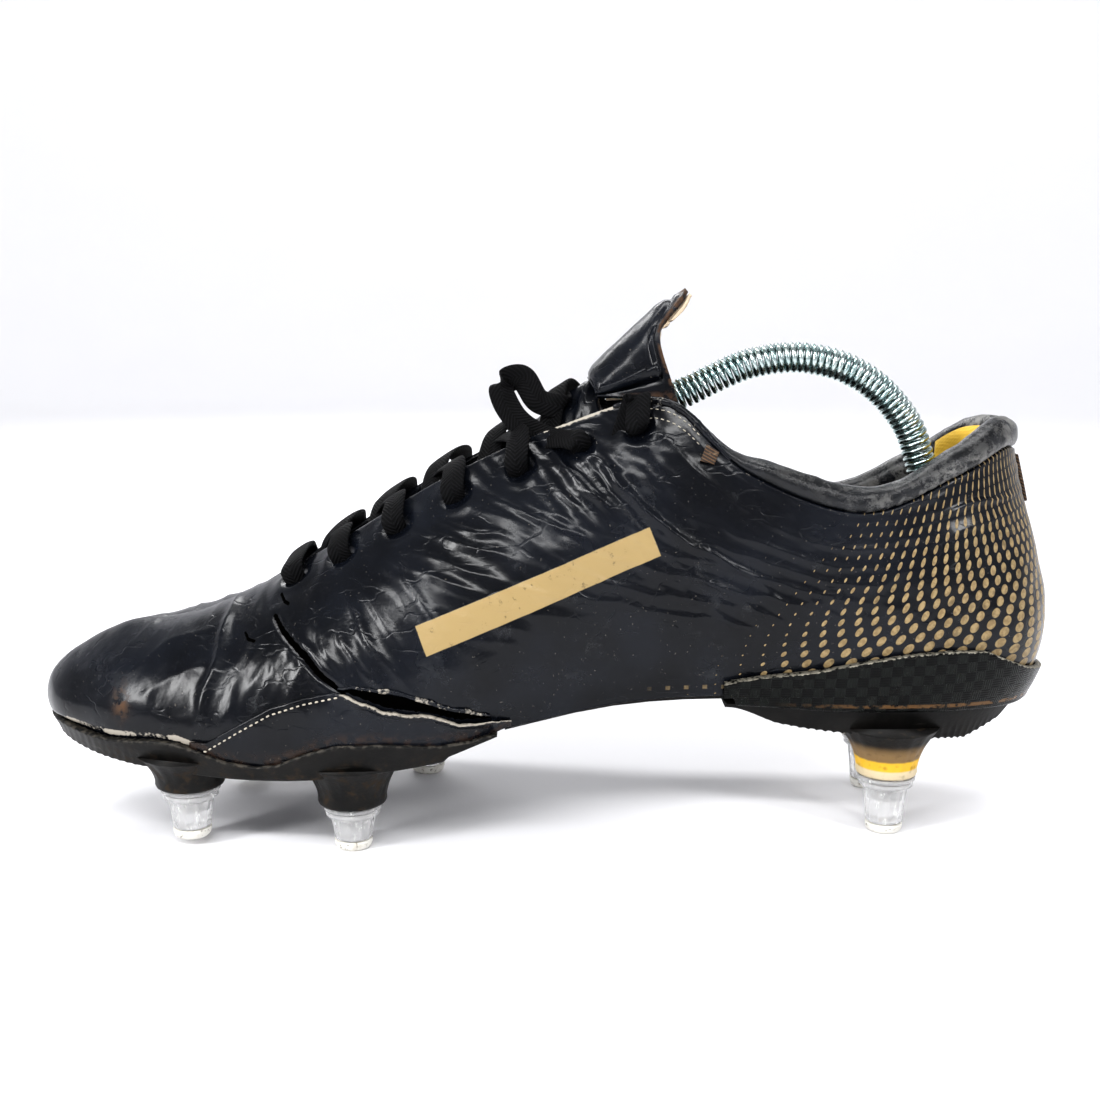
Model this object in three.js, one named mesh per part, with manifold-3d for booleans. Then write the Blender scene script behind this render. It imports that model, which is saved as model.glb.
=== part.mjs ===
// A right-foot soccer boot with six screw-in studs, laced, with a sprung shoe tree inside it.
// Millimetres, +Z up, toe towards -X, heel towards +X, medial side towards -Y, lateral towards +Y.
// The boot stands on its studs, on the plane Z = 0.
import * as THREE from "three";
import { mergeVertices } from "three/addons/utils/BufferGeometryUtils.js";
import Module from "manifold-3d";

const wasm = await Module();
wasm.setup();

// ---------- driving dimensions ----------

const CENTRE_X = 0.3;
const CENTRE_Y = -1.62;
const GAP = 0.3;
const UPPER_WALL = 1.8;
const EYESTAY_WALL = 1.0;
const PANEL_WALL = 0.9;
const PLATE_WALL = 1.8;
const PLATE_UNDER = 4.8;
const COUNTER_WALL = 1.7;
const COUNTER_UNDER = 2.0;
const LACE_RADIUS = 1.3;
const LACE_STEPS = 210;
const SPRING_RADIUS = 4.5;
const STUD_SIDES = 12;
const MEDIAL = -1;
const LATERAL = 1;

// Sections of the shoe last, from the back of the heel (0) to the tip of the toe (11).
// heading: the way the section faces, degrees from the heel's +X round to the toe's -X.
// feather: the bottom edge as x, medial y, lateral y, z. rise: how far and how steeply the wall leaves it.
// top: the top line as x, medial y, lateral y, z. fall: how far and how steeply the wall leaves it.
// low: how much lower the lateral top line is than the medial one.
const section = (heading, feather, rise, top, fall, low) => ({ heading, feather, rise, top, fall, low });
const LAST = [
  section(0, [141, 0, 0, 41], [26, 62], [134.5, 0, 0, 109], [26, -80], 0),
  section(40, [132.5, -18.5, 18.5, 41], [24, 64], [127, -15, 15, 109.5], [24, -80], 2),
  section(75, [112, -27, 28, 41], [20, 68], [111, -26, 26, 103], [20, -80], 5),
  section(90, [82, -28, 31, 41], [20, 70], [85, -30, 31, 94], [16, -80], 6),
  section(90, [50, -25, 33, 42], [26, 66], [54, -29, 31, 105], [20, -76], 4),
  section(90, [20, -27, 37, 40.5], [34, 66], [32, -20, 22, 123.5], [22, -58], 1),
  section(90, [-10, -35, 42, 36], [34, 66], [3, -14, 15, 116.5], [26, -45], 0),
  section(90, [-38, -41, 45, 31.5], [28, 68], [-29, -13, 13, 102], [26, -38], 0),
  section(92, [-66, -42, 42, 28.5], [24, 70], [-58, -11, 11, 84.5], [24, -28], 0),
  section(97, [-95, -39, 35.5, 29], [19, 68], [-82, -3, -3, 70.5], [24, -5], 0),
  section(125, [-126, -28.5, 18, 32], [16, 64], [-100, -5, -5, 63], [20, -3], 0),
  section(180, [-143.2, -6, -6, 34], [13, 62], [-112, -6, -6, 60.5], [18, 0], 0),
];
const TOE = LAST.length - 1;
const THROAT_END = 9;
const COLUMNS_PER_STATION = 3;
const ROWS = 7;

// Eyelets: seven a side, along the throat, at this height on the wall.
const EYELETS = 7;
const EYELET_FIRST = 8.5;
const EYELET_LAST = 5.25;
const EYELET_HEIGHT = 0.885;
const EYELET_RADIUS = 2.8;

// Studs as x, y, height of the tip above the ground, height of the stud from its tip to its flange.
const STUDS = [
  { x: -100.5, y: -28, tip: 2.2, tall: 13.4 },
  { x: -54.5, y: -31, tip: 0, tall: 11.6 },
  { x: -94, y: 21, tip: 2.2, tall: 13.4 },
  { x: -39, y: 32, tip: 0, tall: 13.4 },
  { x: 97.5, y: -18.5, tip: 0, tall: 15.6 },
  { x: 101, y: 18.5, tip: 0, tall: 15.6 },
];
const FORE_STUDS = STUDS.slice(0, 4);
const HEEL_STUDS = STUDS.slice(4);
const WASHER_THICK = 1.2;
const STUD_BORE = 3.25;
const POST_RADIUS = 2.9;
const POST_ABOVE = 8;
const POST_BELOW = 5.5;
const POST_CHAMFER = 0.6;
const WASHER_RADIUS = 8.3;
const TIP_TALL = 3;
const INSERT_RADIUS = 5.6;
const INSERT_TALL = 8;
const FORE_PAD_RADIUS = 9.6;
const HEEL_PAD_RADIUS = 10.4;
const FRONT_PAD_TOP = 27.5;
const BALL_PAD_TOP = 26;
const HEEL_PAD_TOP = 32.5;
const RIB = { count: 6, first: -76, pitch: 4.2, thick: 1.6, wide: 34, tall: 3, z: 23.6, y: 1, tilt: -0.05 };
const SHANK = { inset: -7, under: 3.6 };
const HEEL_PLATE = { outset: 0.6, under: 14 };
const HEEL_STIFFENER_WALL = 1.3;
const TOE_PUFF_WALL = 1;
const LINING_WALL = 0.7;
const TRIM_WALL = 0.8;
const BOARD_THICK = 1.6;
const SOCK_THICK = 3;
const TREE_BLOCK = { size: [25, 20, 11], at: [-84, -2, 49] };
const TREE_KNOB = { size: [13, 15, 13], at: [123.5, 0, 66] };

// Side views as x, z outlines.
const RIM_TOP = [
  [-150, 41], [-128, 39.2], [-121, 36.4], [-110, 35.2], [-101, 34.3], [-94.5, 31.6], [-87, 28.8],
  [-79, 27.6], [-73, 28.2], [-66, 31.4], [-57, 34.2], [-43, 34.4], [-30, 33], [-21, 33.8], [-12, 36],
];
const PLATE_HEEL_END = [[-13, 34.4], [-27, 29], [-42, 10], [-150, 10]];
const PANEL_SEAM = [
  [-5, 39.4], [-12, 41], [-25, 44], [-38, 48], [-52, 50], [-65, 47], [-74, 44], [-83, 39], [-92, 33.5],
];
const COUNTER_TOP = [
  [46, 46.2], [57.7, 48.8], [73.6, 51.1], [86, 53.7], [98.6, 55.9], [111, 56.8], [120.6, 56.2],
  [134, 50], [152, 44],
];
const HEEL_STIFFENER = [[72, 50], [150, 50], [150, 86], [112, 86], [86, 74], [72, 62]];
const TOE_PUFF = [[-150, 41], [-116, 38], [-108, 46], [-119, 57], [-150, 57]];
const LINING_PATCH = [[118, 88], [150, 88], [150, 101], [118, 101]];
const BARTACK = [[41.2, 108.4], [45, 107.4], [46.2, 110.2], [43, 112.4]];
const HEEL_TAB = [[126, 94], [150, 94], [150, 107.5], [126, 107.5]];
const SHANK_SPAN = [[-12, 20], [52.5, 20], [52.5, 60], [-12, 60]];
const HEEL_PLATE_UNDER = [[133, 38.2], [131, 34], [121, 29], [100, 29.6], [72, 32.6], [53, 35.6], [53, 39]];

// The tree's spring as x, z points of its axis, in the plane y = 0.
const SPRING_AXIS = [
  [-57, 52], [-44, 63], [-24, 83], [-4, 101], [18, 115.5], [39.2, 125], [57, 133], [69, 134.9], [77.5, 134.2],
  [85.8, 131.7], [93.7, 127], [99.7, 121.2], [104.2, 115], [107.5, 106.5], [111, 95], [117.3, 82],
];

// ---------- the last ----------

const radians = THREE.MathUtils.degToRad;

// A station beyond either end is the matching one on the other side, so its half width changes sign.
function reflected(index) {
  if (index < 0) return [-index, -1];
  if (index > TOE) return [2 * TOE - index, -1];
  return [index, 1];
}

function catmullRom(p0, p1, p2, p3, t) {
  const slope = p2 - p0;
  const square = 2 * p0 - 5 * p1 + 4 * p2 - p3;
  const cube = -p0 + 3 * p1 - 3 * p2 + p3;
  return 0.5 * (2 * p1 + slope * t + square * t * t + cube * t * t * t);
}

// Value of a station quantity at u. An odd quantity changes sign past the heel and the toe.
function along(u, read, odd) {
  const base = Math.min(Math.floor(u), TOE - 1);
  const values = [-1, 0, 1, 2].map((step) => {
    const [index, sign] = reflected(base + step);
    return read(LAST[index]) * (odd ? sign : 1);
  });
  return catmullRom(...values, u - base);
}

const middle = ([, medial, lateral]) => (medial + lateral) / 2;
const half = ([, medial, lateral]) => (lateral - medial) / 2;

// One of the four points that shape a rib: 0 is on the feather line and 3 on the top line.
function ribPoint(u, side, which) {
  const low = which < 2;
  const line = low ? "feather" : "top";
  const pull = low ? "rise" : "fall";
  const on = which === 0 || which === 3;
  const out = (s) => (on ? 0 : s[pull][0] * Math.cos(radians(s[pull][1])));
  const up = (s) => (on ? 0 : s[pull][0] * Math.sin(radians(s[pull][1])));
  const x = along(u, (s) => s[line][0] + out(s) * Math.cos(radians(s.heading)), false);
  const centre = along(u, (s) => middle(s[line]), false);
  const wide = along(u, (s) => half(s[line]) + out(s) * Math.sin(radians(s.heading)), true);
  const drop = !low && side === LATERAL ? along(u, (s) => s.low, false) : 0;
  const z = along(u, (s) => s[line][3] + up(s), false) - drop;
  const width = which === 3 ? Math.max(0, u >= THROAT_END ? 0 : wide) : wide;
  return new THREE.Vector3(x, centre + side * width, z);
}

// A point of the last's wall: u runs from heel to toe, v from the feather line to the top line.
function wallPoint(u, v, side) {
  if (u < 0) return wallPoint(-u, v, -side);
  if (u > TOE) return wallPoint(2 * TOE - u, v, -side);
  const points = [0, 1, 2, 3].map((which) => ribPoint(u, side, which));
  const w = 1 - v;
  const shares = [w * w * w, 3 * w * w * v, 3 * w * v * v, v * v * v];
  const sum = new THREE.Vector3();
  points.forEach((p, i) => sum.addScaledVector(p, shares[i]));
  return sum;
}

const STEP_U = 0.03;
const STEP_V = 0.015;

function sideNormal(u, v, side) {
  const lengthwise = wallPoint(u + STEP_U, v, side).sub(wallPoint(u - STEP_U, v, side));
  const upwards = wallPoint(u, Math.min(1, v + STEP_V), side).sub(wallPoint(u, Math.max(0, v - STEP_V), side));
  return lengthwise.cross(upwards).multiplyScalar(side).normalize();
}

// Outward normal. On the closed ridge both sides share one.
function wallNormal(u, v, side) {
  const normal = sideNormal(u, v, side);
  if (v < 1 || u < THROAT_END) return normal;
  return normal.add(sideNormal(u, v, -side)).normalize();
}

// A point offset from the wall. On the feather line it is carried down the wall to lie `under` below the sole.
function offsetPoint(u, v, side, offset, under) {
  const point = wallPoint(u, v, side);
  const normal = wallNormal(u, v, side);
  point.addScaledVector(normal, offset);
  if (v > 0) return point;
  const tangent = wallPoint(u, STEP_V, side).sub(wallPoint(u, 0, side)).normalize();
  const back = (under + normal.z * offset) / tangent.z;
  return point.addScaledVector(tangent, -back);
}

function columns() {
  const count = TOE * COLUMNS_PER_STATION;
  return Array.from({ length: count + 1 }, (_, i) => i / COLUMNS_PER_STATION);
}

function rows() {
  return Array.from({ length: ROWS + 1 }, (_, i) => i / ROWS);
}

// ---------- meshes and solids ----------

// Closed geometry from a list of triangles given by their corners. Collapsed triangles are dropped.
function geometryOf(corners) {
  const raw = new THREE.BufferGeometry().setFromPoints(corners);
  const merged = mergeVertices(raw, 1e-4);
  const index = merged.index.array;
  const kept = [];
  for (let i = 0; i < index.length; i += 3) {
    const [a, b, c] = [index[i], index[i + 1], index[i + 2]];
    if (a !== b && b !== c && c !== a) kept.push(a, b, c);
  }
  merged.setIndex(kept);
  return merged;
}

// Joins rings of equal length into a tube. closedEnds caps the first and last ring with fans.
function loft(rings, closedEnds) {
  const corners = [];
  const size = rings[0].length;
  for (let j = 0; j + 1 < rings.length; j++) {
    for (let k = 0; k < size; k++) {
      const next = (k + 1) % size;
      const [a, b] = [rings[j][k], rings[j][next]];
      const [d, c] = [rings[j + 1][k], rings[j + 1][next]];
      corners.push(a, b, c, a, c, d);
    }
  }
  if (closedEnds) {
    capRing(rings[0], corners, false);
    capRing(rings[rings.length - 1], corners, true);
  }
  return geometryOf(corners);
}

// Triangulates a ring that folds about its middle: each strip joins a point to its opposite.
function capRing(ring, corners, forward) {
  const size = ring.length;
  for (let k = 0; k + 1 < size - 1 - k; k++) {
    const [a, b] = [ring[k], ring[k + 1]];
    const [d, c] = [ring[size - 1 - k], ring[size - 2 - k]];
    if (forward) corners.push(a, b, c, a, c, d);
    else corners.push(a, c, b, a, d, c);
  }
}

function solidOf(geometry) {
  const bare = new THREE.BufferGeometry();
  bare.setAttribute("position", geometry.getAttribute("position"));
  if (geometry.index) bare.setIndex(geometry.index);
  const merged = mergeVertices(bare, 1e-4);
  const mesh = new wasm.Mesh({
    numProp: 3,
    vertProperties: merged.getAttribute("position").array,
    triVerts: new Uint32Array(merged.index.array),
  });
  return new wasm.Manifold(mesh);
}

const SMALLEST_PIECE = 1;

// The largest of a solid's separate bodies, so that no sliver is left beside it.
function largest(solid) {
  const bodies = solid.decompose();
  bodies.sort((a, b) => b.volume() - a.volume());
  return bodies[0].volume() > SMALLEST_PIECE ? bodies[0] : solid;
}

function geometryFrom(solid) {
  const mesh = solid.getMesh();
  const geometry = new THREE.BufferGeometry();
  geometry.setAttribute("position", new THREE.BufferAttribute(mesh.vertProperties, 3));
  geometry.setIndex(new THREE.BufferAttribute(mesh.triVerts, 1));
  return geometry;
}

const madeLasts = new Map();

// The whole last, its walls moved out by offset and its sole down by under, with the throat and collar closed.
function lastSolid(offset, under) {
  const key = `${offset} ${under}`;
  if (!madeLasts.has(key)) madeLasts.set(key, makeLast(offset, under));
  return madeLasts.get(key);
}

function makeLast(offset, under) {
  const rings = columns().map((u) => {
    const medial = rows().map((v) => offsetPoint(u, v, MEDIAL, offset, under));
    const lateral = rows().map((v) => offsetPoint(u, v, LATERAL, offset, under));
    return [...medial, ...lateral.reverse()];
  });
  return solidOf(loft(rings, false));
}

const WIDE = 160;

// A side-view outline of x, z points carried across the boot from one y to another.
function sidePrism(outline, fromY = -WIDE / 2, toY = WIDE / 2) {
  const shape = new THREE.Shape(outline.map(([x, z]) => new THREE.Vector2(x, z)));
  const geometry = new THREE.ExtrudeGeometry(shape, { depth: toY - fromY, bevelEnabled: false });
  geometry.rotateX(Math.PI / 2);
  geometry.translate(0, toY, 0);
  return solidOf(geometry);
}

function turned(profile, sides) {
  const points = profile.map(([r, z]) => new THREE.Vector2(r, z));
  const geometry = new THREE.LatheGeometry(points, sides);
  geometry.rotateX(Math.PI / 2);
  return geometry;
}

// A turned solid whose profile is given as r, z from the bottom of its axis to the top.
function turnedSolid(profile, sides, x, y, z) {
  const geometry = turned(profile, sides);
  geometry.translate(x, y, z);
  return solidOf(geometry);
}

function tube(points, radius, steps, sides) {
  const curve = new THREE.CatmullRomCurve3(points, false, "centripetal");
  const shape = new THREE.Shape();
  for (let i = 0; i < sides; i++) {
    const a = (2 * Math.PI * i) / sides;
    const [x, y] = [radius * Math.cos(a), radius * Math.sin(a)];
    if (i === 0) shape.moveTo(x, y);
    else shape.lineTo(x, y);
  }
  return new THREE.ExtrudeGeometry(shape, { steps, extrudePath: curve, bevelEnabled: false });
}

// ---------- materials ----------

function finish(colour, roughness, metalness) {
  return new THREE.MeshStandardMaterial({ color: colour, roughness, metalness });
}

const MATERIALS = {
  coatedUpper: finish("#15181c", 0.28, 0),
  liningBoard: finish("#b9a98a", 0.85, 0),
  suedeCollar: finish("#3a3d40", 0.9, 0),
  yellowPatch: finish("#c8a02a", 0.7, 0),
  tongueLining: finish("#cdbb9c", 0.8, 0),
  laceWeave: finish("#0c0c0d", 0.85, 0),
  aglet: finish("#1a1a1c", 0.4, 0),
  brownStitch: finish("#5a3c22", 0.7, 0),
  blackPlate: finish("#17171a", 0.4, 0),
  carbonWeave: finish("#20252a", 0.35, 0.1),
  steel: finish("#9a9ea2", 0.35, 0.9),
  clearStud: finish("#dfe3e6", 0.15, 0),
  whiteTip: finish("#eceae4", 0.45, 0),
  zinc: finish("#b8c0c2", 0.25, 0.9),
  treePlastic: finish("#6f7478", 0.5, 0),
};

const boot = new THREE.Group();

function addGeometry(name, geometry, material) {
  const mesh = new THREE.Mesh(geometry, MATERIALS[material]);
  mesh.name = name;
  boot.add(mesh);
  return mesh;
}

function addSolid(name, solid, material) {
  return addGeometry(name, geometryFrom(largest(solid)), material);
}

// ---------- upper ----------

const eyeletAt = (i) => EYELET_FIRST + ((EYELET_LAST - EYELET_FIRST) * i) / (EYELETS - 1);
const HOLE_REACH = 9;

// A peg through the wall at each eyelet of one side.
function eyeletPegs(side) {
  const pegs = Array.from({ length: EYELETS }, (_, i) => {
    const u = eyeletAt(i);
    const place = wallPoint(u, EYELET_HEIGHT, side);
    const normal = wallNormal(u, EYELET_HEIGHT, side);
    const geometry = new THREE.CylinderGeometry(EYELET_RADIUS, EYELET_RADIUS, 2 * HOLE_REACH, 8);
    const turn = new THREE.Quaternion().setFromUnitVectors(new THREE.Vector3(0, 1, 0), normal);
    geometry.applyQuaternion(turn);
    geometry.translate(place.x, place.y, place.z);
    return solidOf(geometry);
  });
  return pegs.reduce((all, peg) => all.add(peg));
}

// The outer and inner skins joined along the collar and throat, so the shell is open where the foot goes in.
function upperShell() {
  const rings = columns().map((u) => {
    const skin = (side, offset) => rows().map((v) => offsetPoint(u, v, side, offset, offset));
    const outer = [skin(MEDIAL, 0), skin(LATERAL, 0)];
    const inner = [skin(MEDIAL, -UPPER_WALL), skin(LATERAL, -UPPER_WALL)];
    return { u, outer, inner };
  });
  const corners = [];
  const quad = (a, b, c, d) => corners.push(a, b, c, a, c, d);
  for (let j = 0; j + 1 < rings.length; j++) {
    const [here, there] = [rings[j], rings[j + 1]];
    for (const side of [0, 1]) {
      const [from, to] = side === 0 ? [here, there] : [there, here];
      for (let k = 0; k < ROWS; k++) {
        quad(from.outer[side][k], from.outer[side][k + 1], to.outer[side][k + 1], to.outer[side][k]);
        quad(to.inner[side][k], to.inner[side][k + 1], from.inner[side][k + 1], from.inner[side][k]);
      }
      if (here.u < THROAT_END) {
        quad(from.outer[side][ROWS], from.inner[side][ROWS], to.inner[side][ROWS], to.outer[side][ROWS]);
      }
    }
    quad(here.outer[1][0], here.outer[0][0], there.outer[0][0], there.outer[1][0]);
    quad(there.inner[1][0], there.inner[0][0], here.inner[0][0], here.inner[1][0]);
  }
  return solidOf(geometryOf(corners));
}

function addUpper() {
  const shell = upperShell().subtract(eyeletPegs(MEDIAL)).subtract(eyeletPegs(LATERAL));
  addSolid("upper", shell, "coatedUpper");
}

// ---------- panels, linings and stiffeners that follow the wall ----------

const INSIDE = -UPPER_WALL - GAP;

// A layer of the wall between two offsets, kept where a side-view outline covers it.
function wallLayer(inner, outer, outline, fromY, toY) {
  const layer = lastSolid(outer, outer).subtract(lastSolid(inner, inner));
  return layer.intersect(sidePrism(outline, fromY, toY));
}

// A flat layer above the sole, between two heights over the feather line.
function soleLayer(offset, low, high) {
  return lastSolid(offset, -low).subtract(lastSolid(offset + 2, -high));
}

function addSidePanels() {
  const lower = RIM_TOP.filter(([x]) => x > -92).map(([x, z]) => [x, z + GAP + 0.2]);
  const outline = [...PANEL_SEAM, ...lower];
  addSolid("side_panel_medial", wallLayer(GAP, GAP + PANEL_WALL, outline, -WIDE / 2, -10), "coatedUpper");
  addSolid("side_panel_lateral", wallLayer(GAP, GAP + PANEL_WALL, outline, 10, WIDE / 2), "coatedUpper");
}

const EYESTAY_TOP = 0.975;
const EYESTAY_LOW = 0.8;
const EYESTAY_FROM = 5;
const EYESTAY_TO = 8.7;

// A strip inside the wall, following the throat, that the eyelets are punched through.
function eyestay(side) {
  const offsets = [INSIDE - 0.3, INSIDE - 0.3 - EYESTAY_WALL];
  const rings = columns().filter((u) => u >= EYESTAY_FROM && u <= EYESTAY_TO).map((u) => {
    const heights = [EYESTAY_LOW, (EYESTAY_LOW + EYESTAY_TOP) / 2, EYESTAY_TOP];
    const [outer, inner] = offsets.map((offset) => heights.map((v) => offsetPoint(u, v, side, offset, 0)));
    return [...outer, ...inner.reverse()];
  });
  const ordered = side === MEDIAL ? rings : rings.reverse();
  return solidOf(loft(ordered, true)).subtract(eyeletPegs(side));
}

function addEyestays() {
  addSolid("eyestay_medial", eyestay(MEDIAL), "liningBoard");
  addSolid("eyestay_lateral", eyestay(LATERAL), "liningBoard");
}

function addStiffeners() {
  const heel = wallLayer(INSIDE - HEEL_STIFFENER_WALL, INSIDE, HEEL_STIFFENER);
  addSolid("heel_stiffener", heel, "liningBoard");
  const clear = INSIDE - 0.2;
  addSolid("toe_puff", wallLayer(clear - TOE_PUFF_WALL, clear, TOE_PUFF), "liningBoard");
}

const BOARD_LOW = UPPER_WALL + GAP;
const BOARD_HIGH = BOARD_LOW + BOARD_THICK;
const SOCK_LOW = BOARD_HIGH + GAP;
const SOCK_HIGH = SOCK_LOW + SOCK_THICK;

function addInsoles() {
  addSolid("lasting_board", soleLayer(INSIDE - 0.4, BOARD_LOW, BOARD_HIGH), "liningBoard");
  addSolid("sockliner", soleLayer(INSIDE - 2, SOCK_LOW, SOCK_HIGH), "suedeCollar");
}

// ---------- collar ----------

// Section of the padded roll, as distances out from the wall's top edge and up from it.
const ROLL = [
  [-0.6, 0.8], [0.7, 3], [0.2, 6.6], [-2.4, 9], [-5.6, 8.6], [-7.6, 4.6], [-7, -5], [-5.4, -14], [-3.4, -14],
  [-3.1, -4], [-2.8, 0.8],
];
const ROLL_STEPS = 15;
const ROLL_FROM = 4.6;

// The roll is tallest at the heel and the front of the collar, and lower over the ankle.
function rollScale(u) {
  const dip = Math.exp(-(((u - 2.7) / 1.1) ** 2));
  const front = THREE.MathUtils.smoothstep(u, 3.9, ROLL_FROM);
  return (1 - 0.22 * dip) * (1 - 0.45 * front);
}

function rollRing(u, side) {
  const top = wallPoint(u, 1, side);
  const normal = wallNormal(u, 1, side);
  const out = new THREE.Vector3(normal.x, normal.y, 0).normalize();
  const scale = rollScale(u);
  const up = new THREE.Vector3(0, 0, 1);
  const bulge = (z) => (z > 0 ? z * scale : z);
  return ROLL.map(([h, z]) => top.clone().addScaledVector(out, h).addScaledVector(up, bulge(z)));
}

function addCollar() {
  const stations = Array.from({ length: ROLL_STEPS + 1 }, (_, i) => (ROLL_FROM * i) / ROLL_STEPS);
  const medial = stations.slice(1).reverse().map((u) => rollRing(u, MEDIAL));
  const lateral = stations.map((u) => rollRing(u, LATERAL));
  const rings = [...medial, ...lateral].map((ring) => [...ring].reverse());
  addSolid("collar_padding", solidOf(loft(rings, true)), "suedeCollar");
  const patch = wallLayer(INSIDE - LINING_WALL, INSIDE, LINING_PATCH, -14, 14);
  addSolid("heel_lining_patch", patch, "yellowPatch");
  addSolid("collar_bartack", wallLayer(GAP, GAP + TRIM_WALL, BARTACK, -WIDE / 2, -5), "brownStitch");
  addSolid("heel_tab", wallLayer(GAP, GAP + TRIM_WALL, HEEL_TAB, -4.5, 4.5), "brownStitch");
}

// ---------- sole ----------

const PAD_TOP = 13;

// A stud's boss, flared upwards from its flat foot, from the washer up into the plate.
function studPad(stud, foot, height) {
  const z = padFoot(stud);
  const profile = [
    [0, 0], [foot - 0.8, 0], [foot, 0.8], [foot, 2.6], [foot + 0.8, height * 0.55], [PAD_TOP, height - 1],
    [PAD_TOP, height], [0, height],
  ];
  return turnedSolid(profile, 18, stud.x, stud.y, z);
}

const flangeTop = (stud) => stud.tip + stud.tall;
const padFoot = (stud) => flangeTop(stud) + WASHER_THICK + 2 * GAP;

// The pocket in a boss that the threaded insert is moulded into.
function insertPocket(stud) {
  const r = INSERT_RADIUS + GAP;
  const [low, high] = [-5, INSERT_TALL + GAP];
  return turnedSolid([[0, low], [r, low], [r, high], [0, high]], 12, stud.x, stud.y, padFoot(stud));
}

function withPads(plate, studs, foot, topOf) {
  const pads = studs.map((stud) => studPad(stud, foot, topOf(stud) - padFoot(stud)));
  return pads.reduce((all, pad) => all.add(pad), plate);
}

function withPockets(plate, studs) {
  return studs.reduce((left, stud) => left.subtract(insertPocket(stud)), plate);
}

function addForefootPlate() {
  const cup = lastSolid(GAP + PLATE_WALL, PLATE_UNDER);
  const outline = [...RIM_TOP, ...PLATE_HEEL_END];
  const shell = cup.intersect(sidePrism(outline));
  const topOf = (stud) => (stud.x < -80 ? FRONT_PAD_TOP : BALL_PAD_TOP);
  const padded = withPads(shell, FORE_STUDS, FORE_PAD_RADIUS, topOf);
  const hollowed = padded.subtract(lastSolid(GAP, GAP));
  const ribs = Array.from({ length: RIB.count }, (_, i) => {
    const box = new THREE.BoxGeometry(RIB.thick, RIB.wide, RIB.tall);
    box.rotateY(RIB.tilt);
    box.translate(RIB.first + RIB.pitch * i, RIB.y, RIB.z);
    return solidOf(box);
  });
  const ribbed = ribs.reduce((all, rib) => all.add(rib), hollowed);
  addSolid("forefoot_plate", withPockets(ribbed, FORE_STUDS), "blackPlate");
}

function addShank() {
  const slab = lastSolid(SHANK.inset, SHANK.under).subtract(lastSolid(SHANK.inset + 2, GAP));
  addSolid("shank", slab.intersect(sidePrism(SHANK_SPAN)), "blackPlate");
}

function addHeelCounter() {
  const outline = [...COUNTER_TOP, [152, 38], [46, 38]];
  const cup = lastSolid(GAP + COUNTER_WALL, COUNTER_UNDER).subtract(lastSolid(GAP, GAP));
  const clear = [[40, 30], [52.8, 30], [52.8, 41.8], [40, 41.8]];
  addSolid("heel_counter", cup.intersect(sidePrism(outline)).subtract(sidePrism(clear)), "carbonWeave");
}

function addHeelPlate() {
  const under = COUNTER_UNDER + GAP;
  const block = lastSolid(HEEL_PLATE.outset, HEEL_PLATE.under).subtract(lastSolid(6, under));
  const top = [[53, 39], [53, 60], [150, 60], [150, 38.2]];
  const outline = [...HEEL_PLATE_UNDER, ...top];
  const cut = block.intersect(sidePrism(outline));
  const padded = withPads(cut, HEEL_STUDS, HEEL_PAD_RADIUS, () => HEEL_PAD_TOP);
  addSolid("heel_plate", withPockets(padded, HEEL_STUDS), "blackPlate");
}

// ---------- studs ----------

function addTurned(name, profile, stud, z, material, sides = STUD_SIDES) {
  const mesh = addGeometry(name, turned(profile, sides), material);
  mesh.position.set(stud.x, stud.y, z);
}

const FLANGE_RADIUS = 7.7;
const FLANGE_THICK = 1.5;
const CONE_TOP = 6.5;
const CONE_FOOT = 5.4;

// One stud, its washer and the insert it screws into, numbered from 1.
function addStud(stud, number) {
  const top = flangeTop(stud);
  const cone = stud.tall - TIP_TALL;
  const blind = POST_BELOW + GAP;
  const ring = (r, tall) => [[STUD_BORE, 0], [r, 0], [r, tall], [STUD_BORE, tall], [STUD_BORE, 0]];
  addTurned(`stud_insert_${number}`, ring(INSERT_RADIUS, INSERT_TALL), stud, padFoot(stud), "steel");
  addTurned(`stud_washer_${number}`, ring(WASHER_RADIUS, WASHER_THICK), stud, top + GAP, "clearStud");
  const long = POST_BELOW + POST_ABOVE;
  const chamfered = POST_RADIUS - POST_CHAMFER;
  const thread = [[0, 0], [POST_RADIUS, 0], [POST_RADIUS, long - POST_CHAMFER], [chamfered, long], [0, long]];
  addTurned(`stud_post_${number}`, thread, stud, top - POST_BELOW, "steel");
  const body = [
    [0, 0], [CONE_FOOT, 0], [CONE_TOP, cone - FLANGE_THICK - 1], [FLANGE_RADIUS, cone - FLANGE_THICK],
    [FLANGE_RADIUS, cone], [STUD_BORE, cone], [STUD_BORE, cone - blind], [0, cone - blind],
  ];
  addTurned(`stud_body_${number}`, body, stud, stud.tip + TIP_TALL, "clearStud");
  const tip = [[0, 0], [4.3, 0], [5, 0.7], [5.3, TIP_TALL - GAP], [0, TIP_TALL - GAP]];
  addTurned(`stud_tip_${number}`, tip, stud, stud.tip, "whiteTip");
}

// ---------- tongue ----------

const TONGUE_THICK = 2.2;
const TONGUE_DROP = 8.2;
const TONGUE_FROM = 8.7;
const TONGUE_TO = 6;
const TONGUE_RINGS = 12;
// Height of the tongue's middle over the throat's edge, from its root under the vamp to its crease.
const TONGUE_CROWN = [[8.75, -10.5], [8, -7.5], [7, -4.5], [6.5, -1.5], [6, 5.5], [5.8, 9]];

function crownAt(u) {
  const last = TONGUE_CROWN.length - 1;
  const i = Math.min(TONGUE_CROWN.findIndex(([at]) => at <= u + 1e-9) || 1, last);
  const [[u0, h0], [u1, h1]] = [TONGUE_CROWN[i - 1], TONGUE_CROWN[i]];
  return h0 + ((h1 - h0) * (u - u0)) / (u1 - u0);
}

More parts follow.
